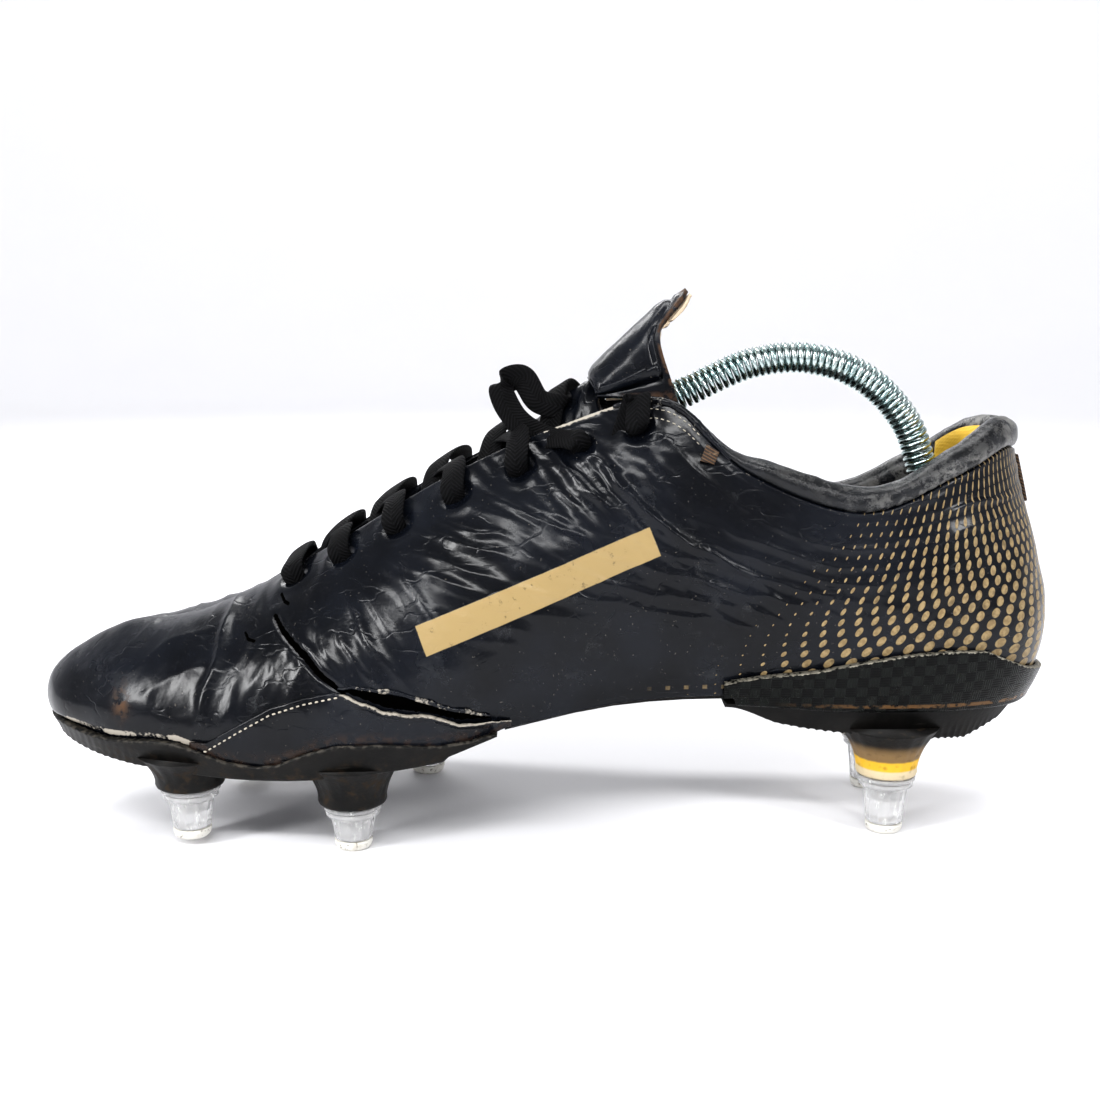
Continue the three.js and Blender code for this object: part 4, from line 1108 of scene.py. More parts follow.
def build_panel_stitches():
    for side, name in ((MEDIAL, "medial"), (LATERAL, "lateral")):
        u = np.linspace(7.6 if side == MEDIAL else 6.2, 9.0, 200)
        path = at_height(u, on_wall_line(u, PANEL_SEAM, side, lift=-1.9), side, 1.3)
        places, directions = evenly_along(path, 0.875, 0, 1.75, 0.3)
        directions = directions + np.array([1e-6, 0, 0])
        places = places + (relief(places) * 0.9)[:, None] * np.array([0, side, 0.2])
        shown = places[:, 0] > -93
        if side == MEDIAL:
            shown &= places[:, 0] < -55
        stitches("panel_stitches_" + name, places[shown], directions[shown], 0.25)


# ---------- sole ----------

# Each stud's x, y, height of its tip off the floor, and length.
FRONT_STUDS = [(-100.5, -28, 2.2, 13.4), (-54.5, -31, 0, 11.6), (-94, 21, 2.2, 13.4), (-39, 32, 0, 13.4)]
HEEL_STUDS = [(97.5, -18.5, 0, 15.6), (101, 18.5, 0, 15.6)]
PLATE_END = [(-150, 5), (-42, 10), (-27, 29), (-13, 34.4), (0, 40)]
COUNTER_TOP = [
    (46, 46.2), (57.7, 48.8), (73.6, 51.1), (86, 53.7), (98.6, 55.9),
    (111, 56.8), (120.6, 56.2), (134, 50), (152, 44),
]
COUNTER_END = [(40, 41.8), (52.8, 41.8), (53, 30)]
HEEL_UNDER = [(53, 35.6), (72, 32.6), (100, 29.6), (121, 29), (131, 34), (133, 38.2), (150, 38.2)]
WASHER_THICK = 1.2
PAD_GAP = WASHER_THICK + 0.6


def side_strip(u, side, top, low, offset, rows, corner=1.2):
    """Points down the wall from top to low, with a rounded bottom corner that turns in under the sole."""
    z = top[:, None] + (low + corner - top)[:, None] * np.linspace(0, 1, rows)[None, :]
    uu = np.repeat(u[:, None], rows, 1)
    down = at_height(uu, z, side, offset)
    inward = -level(wall_normal(u, 0 * u, side))
    last = down[:, -1]
    turn = []
    for angle in (30, 60, 90):
        a = math.radians(angle)
        p = last + inward * (corner * (1 - math.cos(a)))
        p[:, 2] = last[:, 2] - corner * math.sin(a)
        turn.append(p)
    turn.append(turn[-1] + inward * corner)
    return np.concatenate([down, np.stack(turn, 1)], 1)


def across_bottom(a, b, count):
    """count points between each point of a and its partner in b."""
    t = np.linspace(0, 1, count + 2)[1:-1][None, :, None]
    return a[:, None, :] * (1 - t) + b[:, None, :] * t


CUP_MIDDLE = 40
CUP_INNER = 6
CUP_CLEARANCE = 0.3


def cup(name, u, top_line, under, offset, rows, clip, relief_of=None):
    """A cup that wraps the wall from one side round to the other, open at its top: a section for each u.

    It stands off the wall and reaches under the feather line, but never below the line clip.
    """
    halves = []
    for side in (MEDIAL, LATERAL):
        foot = wall(u, 0.0, side)[:, 2]
        top = np.maximum(on_wall_line(u, top_line, side), foot - under + 1.5)
        outer = side_strip(u, side, top, foot - under, offset, rows)
        drop = np.minimum(foot - CUP_CLEARANCE, top - 0.5) - top
        z = top[:, None] + drop[:, None] * np.linspace(0, 1, CUP_INNER)[None, :]
        inner = at_height(np.repeat(u[:, None], CUP_INNER, 1), z, side, CUP_CLEARANCE)
        halves.append((outer, inner))
    (mo, mi), (lo, li) = halves
    bottom = across_bottom(mo[:, -1], lo[:, -1], CUP_MIDDLE)
    inner_bottom = across_bottom(li[:, -1], mi[:, -1], CUP_INNER)
    rings = np.concatenate([mo, bottom, lo[:, ::-1], li, inner_bottom, mi[:, ::-1]], 1)
    floor = line_height(clip, rings[..., 0])
    roof = rings[..., 2].max(1, keepdims=True)
    rings[..., 2] = np.minimum(np.maximum(rings[..., 2], floor), np.maximum(roof, floor))
    if relief_of is not None:
        rings = rings + relief_of(rings)
    obj = rings_mesh(name, rings)
    outer_count = mo.shape[1]
    worn = np.zeros(rings.shape[:2])
    edge = np.concatenate([[0.66, 0.12], np.zeros(outer_count - 2)])
    worn[:, :outer_count] = edge
    worn[:, outer_count + CUP_MIDDLE : 2 * outer_count + CUP_MIDDLE] = edge[::-1]
    worn[:, -1] = 0.6
    around = np.zeros(rings.shape[:2])
    around[:, : outer_count + CUP_MIDDLE // 2] = girth(u, MEDIAL)[:, None]
    around[:, outer_count + CUP_MIDDLE // 2 :] = -girth(u, LATERAL)[:, None]
    add_attribute(obj, "girth", around)
    return obj, worn


def turned_shape(profile, x, y, z, sides, wobble=None):
    """Rings of a turned shape, its profile given as radius and height."""
    angles = circle(sides)
    rings = []
    for r, h in profile:
        radius = np.full(sides, float(r))
        if wobble is not None:
            radius = wobble(radius, angles, h)
        round_it = [x + radius * np.cos(angles), y + radius * np.sin(angles), np.full(sides, z + h)]
        rings.append(np.stack(round_it, 1))
    return np.array(rings)


def turned_mesh(shapes, name):
    """One mesh of several turned shapes."""
    points, faces, start = [], [], 0
    for rings in shapes:
        rows, sides = rings.shape[:2]
        points.append(rings.reshape(-1, 3))
        faces += grid_faces(rows, sides, start, close_cols=True)
        faces.append(tuple(reversed(range(start, start + sides))))
        faces.append(tuple(range(start + (rows - 1) * sides, start + rows * sides)))
        start += rows * sides
    return make_mesh(name, np.concatenate(points), faces)


def boss(stud, foot, top, reach):
    """A flared boss from its foot over the washer up into the plate."""
    x, y, tip, tall = stud
    z = tip + tall + PAD_GAP
    height = top - z
    profile = [(0.01, 0), (3.1, 0), (foot - 0.9, 0), (foot - 0.25, 0.25), (foot, 0.9), (foot, 2.4)]
    for t in np.linspace(0.1, 1, 14):
        profile.append((foot + (reach - foot) * t**1.6, 2.4 + (height - 2.4) * t))

    def ripple(radius, angles, h):
        share = 1 if 2.4 < h < height - 0.5 else 0
        return radius * (1 + 0.012 * share * np.sin(angles * 18))

    return turned_shape(profile, x, y, z, 72 if FINE else 40, ripple)


def dress_sole(obj, material, slot_name, *nodes, worn=0.0, boss=0.0):
    """The same as dress, with the two values that the moulded plate and the woven shell read."""
    add_attribute(obj, "worn", worn)
    add_attribute(obj, "boss", np.full(len(obj.data.vertices), boss))
    dress(obj, material, "root", slot_name, *nodes)


RIBBED_BELOW = [(-150, 31), (-110, 27), (-60, 24.5), (-20, 28)]
RIB_PITCH = 4.2
SERRATION = 2.4


def grip(rings):
    """Ribs across the ball and a serrated front rim."""
    x, y, z = rings[..., 0], rings[..., 1], rings[..., 2]
    ball = smooth(-82, -78, x) * smooth(-50, -54, x) * smooth(19, 15, np.abs(y - 1))
    ribbed = (z < line_height(RIBBED_BELOW, x) + 1.2) * (np.cos(x * TURN / RIB_PITCH) * ball > 0)
    serrated = np.abs(np.sin(x * math.pi / SERRATION)) * smooth(-108, -114, x) * smooth(38, 33, z)
    out = np.zeros(rings.shape)
    out[..., 2] -= ribbed * 0.8 + serrated * 0.4
    return out


def build_forefoot_plate():
    u = np.linspace(6.15, TOE, 190 if FINE else 100)
    obj, worn = cup("forefoot_plate_shell", u, RIM_TOP, 4.8, 2.1, 14, PLATE_END, grip)
    dress_sole(obj, "plate", "black_plate", "forefoot_plate", worn=worn * 0.35)
    bosses = [boss(s, 9.6, 27.5 if s[0] < -80 else 26, 14.4) for s in FRONT_STUDS]
    dress_sole(turned_mesh(bosses, "forefoot_bosses"), "plate", "black_plate")


def build_heel_counter():
    u = np.linspace(0, 4.03, 130 if FINE else 70)[::-1]
    obj, worn = cup("heel_counter_shell", u, COUNTER_TOP, 2.0, 2.0, 18, COUNTER_END)
    dress_sole(obj, "weave", "carbon_weave", "heel_counter", worn=worn)


def build_heel_plate():
    u = np.linspace(0, 4.0, 240 if FINE else 120)[::-1]
    halves = []
    for side in (MEDIAL, LATERAL):
        x, _, foot = wall(u, 0.0, side).T
        low = line_height(HEEL_UNDER, x)
        top = np.maximum(foot - 2.3, low + 0.6)
        low = top - (top - low) * (0.3 + 0.7 * smooth(50, 66, x))
        halves.append(side_strip(u, side, top, low, 0.6, 12, corner=0.9))
    medial, lateral = halves
    rings = np.concatenate([medial, across_bottom(medial[:, -1], lateral[:, -1], 20), lateral[:, ::-1]], 1)
    serrated = np.zeros(rings.shape)
    wave = np.maximum(0, np.sin(girth(u, MEDIAL) * TURN / SERRATION))
    serrated[..., 2] = -0.4 * wave[:, None] * smooth(36, 31, rings[..., 2])
    dress_sole(rings_mesh("heel_plate_block", rings + serrated), "heel_plate", "black_plate", "heel_plate")
    bosses = [boss(s, 8.7, 32.5, 14.6) for s in HEEL_STUDS]
    dress_sole(turned_mesh(bosses, "heel_bosses"), "heel_plate", "black_plate", boss=1.0)


# ---------- studs ----------

STUD_TIP = 3


def build_stud(stud, number):
    """A ribbed clear body with its worn tip below and its clear washer above."""
    x, y, tip, tall = stud
    sides = 96 if FINE else 48
    cone = tall - STUD_TIP

    def ribbed(radius, angles, height):
        share = 1 if 0.3 < height < cone - 1.6 else 0
        return radius * (1 - 0.055 * share * np.abs(np.sin(angles * 6)) ** 0.7)

    outside = [(0.01, 0), (4.9, 0), (5.3, 0.25), (5.45, 0.8), (5.9, cone * 0.5), (6.4, cone - 2.6)]
    outside += [(7.2, cone - 1.8), (7.7, cone - 1.4), (7.7, cone - 0.3), (7.4, cone)]
    outside += [(3.25, cone), (3.25, cone - 5.8), (0.01, cone - 5.8)]
    ribs = turned_shape(outside, x, y, tip + STUD_TIP, sides, ribbed)
    body = turned_mesh([ribs], f"stud_body_{number}_ribbed")
    dress(body, "clear", f"stud_{number}", "clear_stud", f"stud_body_{number}")
    profile = [(0.01, 0), (3.6, 0), (4.5, 0.15), (5.0, 0.7), (5.25, 1.6), (5.3, 2.6)]
    profile += [(5.1, 2.75), (0.01, 2.75)]
    cap = turned_mesh([turned_shape(profile, x, y, tip, sides)], f"stud_tip_{number}_worn")
    dress(cap, "tip", f"stud_{number}", "white_tip", f"stud_tip_{number}")
    ring = [(3.25, 0), (8.0, 0), (8.3, 0.2), (8.3, 1.0), (8.0, 1.2), (3.25, 1.2), (3.25, 0)]
    flat = turned_shape(ring, x, y, tip + tall + 0.3, sides)
    washer = turned_mesh([flat], f"stud_washer_{number}_clear")
    dress(washer, "clear", f"washer_{number}", "clear_stud", f"stud_washer_{number}")


# ---------- collar ----------

ROLL = [
    (-0.6, 0.8), (0.7, 3), (0.2, 6.6), (-2.4, 9), (-5.6, 8.6), (-7.6, 4.6),
    (-7, -5), (-5.4, -14), (-3.4, -14), (-3.1, -4), (-2.8, 0.8),
]
ROLL_FROM = 4.6
ROLL_POINTS = 56


def closed_curve(points, count):
    """Catmull-Rom round a closed list of points."""
    p = np.asarray(points, float)
    n = len(p)
    t = np.linspace(0, n, count, endpoint=False)
    i = np.floor(t).astype(int)
    f = (t - i)[:, None]
    a, b, c, d = p[(i - 1) % n], p[i % n], p[(i + 1) % n], p[(i + 2) % n]
    return spline(a, b, c, d, f)


def open_curve(points, count):
    """Catmull-Rom through an open list of points, evenly shared out between them."""
    p = np.asarray(points, float)
    p = np.concatenate([2 * p[:1] - p[1:2], p, 2 * p[-1:] - p[-2:-1]])
    t = np.linspace(0, len(p) - 3, count)
    i = np.minimum(np.floor(t).astype(int), len(p) - 4)
    f = (t - i).reshape((-1,) + (1,) * (p.ndim - 1))
    a, b, c, d = p[i], p[i + 1], p[i + 2], p[i + 3]
    return spline(a, b, c, d, f)


def build_collar():
    steps = 110 if FINE else 60
    section = closed_curve(ROLL, ROLL_POINTS)
    w = np.linspace(-ROLL_FROM, ROLL_FROM, 2 * steps + 1)
    u = np.abs(w)
    top = wall(w, 1.0, LATERAL)
    out = level(wall_normal(w, 0 * w + 1.0, LATERAL))
    scale = (1 - 0.22 * np.exp(-(((u - 2.7) / 1.1) ** 2))) * (1 - 0.8 * smooth(3.3, ROLL_FROM, u))
    closing = np.sqrt(np.clip(1 - (u / (ROLL_FROM + 0.02)) ** 12, 0.02, 1))
    middle = section.mean(0)
    rings = []
    for k in range(len(w)):
        h = middle[0] + (section[:, 0] - middle[0]) * closing[k]
        z = np.where(section[:, 1] > 0, section[:, 1] * scale[k], section[:, 1])
        ring = top[k] + out[k] * h[:, None]
        ring[:, 2] += z
        rings.append(ring)
    rings = np.array(rings)
    s = run_length(top)[:, None]
    v = np.arange(ROLL_POINTS)[None, :] * 0.9
    lumps = 0.5 * fractal(s / 13, v / 9, 5) + 0.22 * fractal(s / 4, v / 3, 9)
    away = unit(rings - rings.mean(1, keepdims=True))
    rings = rings + away * (lumps * (u < 4.4)[:, None])[..., None]
    obj = rings_mesh("collar_roll", rings, flip=True)
    z = rings[..., 2] - top[:, None, 2]
    heel = smooth(1.6, 0.2, u)[:, None]
    edge = 0.35 + 0.3 * fractal(s / 9, v / 9, 15)
    foot = edge * smooth(-1, 1, z) * smooth(6, 3, z) * smooth(3.6, 2.2, u)[:, None]
    add_attribute(obj, "worn", smooth(2, 7, z) * (0.10 + 0.62 * heel) + foot)
    dress(obj, "suede", "root", "suede_lining", "collar_padding")


BARTACK = [(41.2, 108.4), (45, 107.4), (46.4, 110.6), (43, 112.6)]


def patch(name, u, v, face, back, node):
    """A small stitched patch on the medial wall, between two distances off it."""
    front, rear = skin(u, v, MEDIAL, face), skin(u, v, MEDIAL, np.full(u.shape, back))
    obj = rings_mesh(name, np.concatenate([front, rear[:, ::-1]], 1))
    dress(obj, "stitch", "root", "brown_stitch", node)


def build_heel_trims():
    w, rise = np.meshgrid(np.linspace(-0.115, 0.115, 16), np.linspace(0, 1, 30), indexing="ij")
    swell = np.sin(np.pi * np.linspace(0, 1, 16))[:, None] * np.sin(np.pi * rise)
    patch("heel_tab_stitched", w, 0.79 + 0.185 * rise, 1.0 + 0.5 * swell**0.5, 0.15, "heel_tab")
    s, t = np.meshgrid(np.linspace(0, 1, 14), np.linspace(0, 1, 14), indexing="ij")
    shares = [(1 - s) * (1 - t), s * (1 - t), s * t, (1 - s) * t]
    x, z = (sum(share * corner[k] for share, corner in zip(shares, BARTACK)) for k in (0, 1))
    u, v = locate(x, z, MEDIAL)
    patch("collar_bartack_stitched", u, v, np.full(u.shape, 1.1), 0.1, "collar_bartack")


def build_inner_yellow():
    """The yellow lining where it shows over the back of the collar, inside the roll."""
    w = np.linspace(-1.5, 1.5, 60)
    top = wall(w, 1.0, LATERAL)
    out = level(wall_normal(w, 0 * w + 1.0, LATERAL))
    face = [(-8.2, 6.2), (-8.7, 3.6), (-8.6, 0), (-8.1, -5), (-7.3, -10), (-6.6, -13.5)]
    back = [(-6.4, -13.5), (-6.7, -10), (-7.3, -5), (-7.6, 0), (-7.8, 3.6), (-7.4, 6.2)]
    section = np.array(face + back)
    ripple = 0.25 * fractal(np.arange(60) / 5.0, np.zeros(60), 31)
    rings = top[:, None, :] + out[:, None, :] * (section[None, :, 0] + ripple[:, None])[..., None]
    rings[..., 2] += section[None, :, 1]
    obj = rings_mesh("heel_lining_upper", rings, flip=True)
    dress(obj, "yellow", "root", "yellow_lining")


def build_binding():
    """Rolled binding along the collar's front edge, with two rows of stitches below it."""
    for side, name in ((MEDIAL, "medial"), (LATERAL, "lateral")):
        u = np.linspace(4.2, 5.5, 150)
        top = skin(u, 0 * u + 1.0, side, 0 * u - 0.6)
        n = wall_normal(u, 0 * u + 0.99, side)
        up = np.cross(n, unit(np.gradient(top, axis=0)))
        up *= np.sign(up[:, 2:3])
        ends = np.sin(np.pi * np.linspace(0.03, 0.97, len(u))) ** 0.25
        lumps = 0.16 * fractal(np.arange(len(u)) / 6.0, np.zeros(len(u)), 13)
        wide, tall = (1.7 + lumps) * ends, (1.25 + lumps) * ends
        rubbed = 0.1 + 0.35 * smooth(0.2, 0.6, lumps * 5)
        bead("topline_binding_" + name, top + up * 0.3, n, up, wide, tall, rubbed, sides=14)
        u = np.linspace(4.56, 5.2, 90)
        for row, v in enumerate((0.965, 0.925)):
            v = np.full(len(u), v)
            path = wall(u, v, side)
            path = path + wall_normal(u, v, side) * (relief(path) + 0.15)[:, None]
            places, directions = evenly_along(path, 1.2, 1, 1.7, 0.4)
            stitches(f"topline_stitches_{name}_{row + 1}", places, directions, 0.15)


# ---------- tongue and flap ----------

# How far the tongue's crown stands over the last's top, by u, and how deep its edges lie.
TONGUE_CROWN = [(5.7, 8.6), (5.84, 9.6), (6, 8), (6.2, 5), (6.5, 0), (7, -4), (8, -7.5), (8.75, -10.5)]
TONGUE_DEPTH = -8.2


def tongue_points(u):
    """The line across the tongue at u, from its medial edge to its lateral one."""
    outer_left, left, right, outer_right = (
        on_last(u, v, side, TONGUE_DEPTH)
        for side, v in ((MEDIAL, 0.86), (MEDIAL, 0.96), (LATERAL, 0.96), (LATERAL, 0.86))
    )
    crown = (left + right) / 2
    crown[2] = wall(u, 1.0, MEDIAL)[2] + line_height(TONGUE_CROWN, u)
    shoulders = [(a + crown) / 2 + np.array([0, 0, 0.18 * (crown[2] - a[2])]) for a in (left, right)]
    return [outer_left, left, shoulders[0], crown, shoulders[1], right, outer_right]


def sheet_solid(name, over, thick, down):
    """A sheet of grid points over, given thickness along down, closed all round with rounded edges."""
    n = grid_normals(over)
    n *= np.sign((n * -down).sum(-1, keepdims=True))
    under = over - n * thick
    rings = np.concatenate([over, under[:, ::-1]], axis=1)
    return rings_mesh(name, rings)


def grid_normals(p):
    du, dv = np.gradient(p, axis=0), np.gradient(p, axis=1)
    n = np.cross(du, dv)
    return unit(n)


def build_tongue():
    stations = np.linspace(8.7, 5.72, 100 if FINE else 56)
    lines = np.array([open_curve(tongue_points(u), 70) for u in stations])
    s = np.linspace(0, 1, len(stations))[:, None]
    t = np.linspace(-1, 1, 70)[None, :]
    n = grid_normals(lines)
    n *= np.sign(n[..., 2:3])
    high = smooth(0.66, 0.9, s)
    bend = folds(s * 95, t * 16, 66, 5.0, 61) * high * smooth(1.0, 0.6, np.abs(t))
    lines = lines + n * (0.35 * fractal(s * 12, t * 3, 65) + 1.3 * bend)[..., None]
    obj = sheet_solid("tongue_folded", lines, 2.2, np.array([0.45, 0, -0.9]))
    add_wear_and_shade(obj)
    dress(obj, "panel", "root", "coated_upper", "tongue")


FLAP_CROWN = [(11, 129.5), (17.8, 136), (28, 145), (37.3, 154)]
FLAP_WAIST = [(12.5, 127.5), (18, 131), (25, 137), (31, 143)]
FLAP_HEM = [(14, 125), (21, 124.4), (29, 123.8), (36.5, 123)]
FLAP_HALF = 12.2
FLAP_DOWN = np.array([0.5, 0, -0.86])
CREASE = (0.0123, -0.00162, 0.127)


def flap_grid(shrink, rows, across):
    lines = []
    for (cx, cz), (wx, wz), (hx, hz) in zip(FLAP_CROWN, FLAP_WAIST, FLAP_HEM):
        half = FLAP_HALF - shrink
        left = [(hx, -half, hz), (wx, -half * 0.8, wz), (cx, -half * 0.3, cz)]
        right = [(x, -y, z) for x, y, z in left[::-1]]
        lines.append(open_curve(left + right, across))
    return open_curve(np.array(lines), rows)


def keep_rest(obj):
    """Keeps each point's place at rest, so that a pattern stays on a piece that bends."""
    co = np.empty(len(obj.data.vertices) * 3, np.float32)
    obj.data.vertices.foreach_get("co", co)
    attribute = obj.data.attributes.new("rest", "FLOAT_VECTOR", "POINT")
    attribute.data.foreach_set("vector", co)


def flap_normals(grid):
    n = grid_normals(grid)
    return n * np.sign((n * np.array([-0.6, 0, 0.8])).sum(-1, keepdims=True))


def build_flap():
    rows, across = (90, 110) if FINE else (50, 60)
    grid = flap_grid(0, rows, across)
    n = flap_normals(grid)
    s = np.linspace(0, 1, rows)[:, None] + np.zeros((1, across))
    t = np.linspace(-1, 1, across)[None, :] + np.zeros((rows, 1))
    rim = np.minimum.reduce([(1 - s) * 26, (1 - np.abs(t)) * 22, s * 26 + 3])
    groove = np.exp(-((rim - 3.2) ** 2) / 0.35)
    padded = 0.9 * smooth(2.6, 6.5, rim)
    buckle = 0.35 * fractal(s * 3, t * 2, 71) + 0.8 * folds(s * 26, t * 18, 20, 7, 73) * smooth(0.45, 0.0, s)
    flare = 1.4 * smooth(0.82, 1.0, s) * smooth(0.9, 0.3, np.abs(t))
    grid = grid + n * (padded + buckle - 0.75 * groove - flare)[..., None]
    obj = sheet_solid("tongue_flap_padded", grid, 1.4, FLAP_DOWN)
    edge = smooth(1.6, 0.5, np.concatenate([rim, rim[:, ::-1]], 1))
    edge = edge * smooth(0.2, 0.4, np.concatenate([s, s], 1))
    add_wear_and_shade(obj, grime=edge * 0.9)
    crease = crease_point(-1.5), crease_point(4.5)
    dress_bent(obj, "flap", "coated_upper", "tongue_flap", *crease, "tongue_flap")
    lining = flap_grid(0.6, rows, across)
    n = flap_normals(lining)
    lining = lining - n * (2.0 - padded + flare - buckle * 0.7)[..., None]
    lining = lining + n * (0.3 * fractal(s * 9, t * 6, 79))[..., None]
    back = sheet_solid("tongue_flap_beige", lining[rows // 8 :], 1.0, FLAP_DOWN)
    dress_bent(back, "beige", "beige_lining", "tongue_flap", *crease, "tongue_flap_lining")


def crease_point(distance):
    """A point in the row frame that far up the flap from its crease, in millimetres."""
    x, y, z = CREASE
    return (x + distance * 0.62 * MM, y, z + distance * 0.78 * MM)


# ---------- lace ----------

# How far off the last the lace lies over and under the leather, and at its tucked ends.
LACE_OVER, LACE_UNDER, LACE_TUCKED = 2.2, -5.6, -6.6
LACE_CROSS = 1.9
LACE_HALF = 3.6
CROSSING_LIFT = [-2, -1, 0, 1.5, 6]
SLACK_LOOP = [
    (4, -6, 121.5), (-2.5, -6.5, 123), (-7.5, -4.5, 129.5),
    (-13, -6, 127.5), (-9.5, -9.5, 119), (-1.5, -13, 113.5),
]


def on_last(u, v, side, offset):
    return skin(np.array([u]), np.array([v]), side, np.array([float(offset)]))[0]


def crossing(i, above):
    u = (eyelet_at(i) + eyelet_at(i + 1)) / 2 - 0.07
    point = (wall(u, 1.0, MEDIAL) + wall(u, 1.0, LATERAL)) / 2
    point[2] += CROSSING_LIFT[i] + LACE_CROSS * (2 if above else 0)
    return point


def lace_half(start_side):
    """Places along half of the lace, from the toe end's bar to its tucked end, each with its width there."""
    route, side = [], start_side
    for i in range(EYELETS):
        u = eyelet_at(i)
        slack = i == EYELETS - 2 and side == MEDIAL
        if slack:
            route += [(np.array(p, float), 1.0) for p in SLACK_LOOP]
        else:
            route.append((on_last(u, 1.0, side, LACE_OVER + 0.4), 1.0))
        route.append((on_last(u, EYELET_HEIGHT, side, LACE_OVER), 0.92))
        route.append((on_last(u, EYELET_HEIGHT, side, LACE_UNDER), 0.7))
        if i < EYELETS - 1:
            route.append((on_last(u - 0.14, 0.975, side, LACE_UNDER), 0.9))
        if i < EYELETS - 2:
            route.append((crossing(i, (start_side == MEDIAL) == (i % 2 == 0)), 1.0))
            side = -side
        elif slack:
            route.append((on_last((u + eyelet_at(i + 1)) / 2, 0.72, side, LACE_UNDER - 1), 0.9))
        elif i == EYELETS - 2:
            route.append((wall(5.5, 1.0, side) + np.array([-4, -5.2 * side, 0]), 1.0))
    route.append((on_last(LAST_EYELET - 0.15, 0.72, side, LACE_TUCKED), 0.9))
    route.append((on_last(LAST_EYELET - 0.3, 0.56, side, LACE_TUCKED), 0.9))
    return route


def centripetal(points, per_span):
    """The centripetal Catmull-Rom curve that the CAD lace follows."""
    p = np.asarray(points, float)
    p = np.concatenate([2 * p[:1] - p[1:2], p, 2 * p[-1:] - p[-2:-1]])
    out = []
    t = np.linspace(0, 1, per_span, endpoint=False)[:, None]
    for a, b, c, d in zip(p, p[1:], p[2:], p[3:]):
        d0, d1, d2 = (max(np.linalg.norm(q - r) ** 0.5, 1e-3) for q, r in ((b, a), (c, b), (d, c)))
        t1 = ((b - a) / d0 - (c - a) / (d0 + d1) + (c - b) / d1) * d1
        t2 = ((c - b) / d1 - (d - b) / (d1 + d2) + (d - c) / d2) * d1
        out.append((2 * b - 2 * c + t1 + t2) * t**3 + (-3 * b + 3 * c - 2 * t1 - t2) * t**2 + t1 * t + b)
    return np.concatenate(out + [p[-2:-1]])


def smoothed(values, width):
    """Each row averaged with its neighbours over about width rows."""
    kernel = np.hanning(width + 2)[1:-1]
    kernel /= kernel.sum()
    padded = np.concatenate([np.repeat(values[:1], width, 0), values, np.repeat(values[-1:], width, 0)])
    out = np.stack([np.convolve(padded[:, k], kernel, mode="same") for k in range(values.shape[1])], 1)
    return out[width:-width]


def square_to(vectors, tangent):
    """The part of each vector at right angles to the tangent, at length one."""
    return unit(vectors - tangent * (vectors * tangent).sum(1, keepdims=True))


def build_lace():
    route = lace_half(MEDIAL)[::-1] + lace_half(LATERAL)
    line = centripetal([p for p, _ in route], 22 if FINE else 12)
    gone = run_length(line)
    share = np.linspace(0, len(route) - 1, len(line))
    width = np.interp(share, np.arange(len(route)), [w for _, w in route])
    off_loop = np.linalg.norm(line[:, None, :] - np.array(SLACK_LOOP, float)[None], axis=2).min(1)
    in_loop = smooth(7.5, 3.0, off_loop)[:, None]
    flat = np.array([0.84, 0.0, 0.54]) * (1 - in_loop) + np.array([0.6, 0.2, 0.77]) * in_loop
    tangent = unit(np.gradient(line, axis=0))
    across = square_to(smoothed(flat, 15 if FINE else 9), tangent)
    across = square_to(smoothed(across, 9 if FINE else 5), tangent)
    up = np.cross(tangent, across)
    sides = 24
    cos_a, sin_a = np.cos(circle(sides)), np.sin(circle(sides))
    shape_x = np.sign(cos_a) * np.abs(cos_a) ** 0.7
    shape_y = np.sign(sin_a) * np.abs(sin_a) ** 0.75
    half = LACE_HALF * width * (1 + 0.05 * fractal(gone / 9, gone * 0, 3))
    thick = 0.72 + 0.5 * smooth(0.85, 0.7, width)
    cupped = 0.35 * fractal(gone / 14, gone * 0, 9)
    sideways = shape_x[None, :] * half[:, None]
    upwards = shape_y[None, :] * thick[:, None] + cupped[:, None] * (shape_x[None, :] ** 2 - 0.4)
    rings = line[:, None, :] + across[:, None, :] * sideways[..., None] + up[:, None, :] * upwards[..., None]
    obj = rings_mesh("lace_flat", rings)
    add_attribute(obj, "along", np.repeat(gone, sides))
    add_attribute(obj, "across", sideways)
    dress(obj, "lace", "root", "lace_weave", "lace")


# ---------- shoe tree ----------

SPRING_AXIS = [
    (-57, 52), (-44, 63), (-24, 83), (-4, 101), (18, 115.5), (39.2, 125),
    (57, 133), (69, 134.9), (77.5, 134.2), (85.8, 131.7), (93.7, 127),
    (99.7, 121.2), (104.2, 115), (107.5, 106.5), (111, 95), (117.3, 82),
]
SPRING_PITCH = 1.92
SPRING_RADIUS = 4.5
WIRE = 0.8


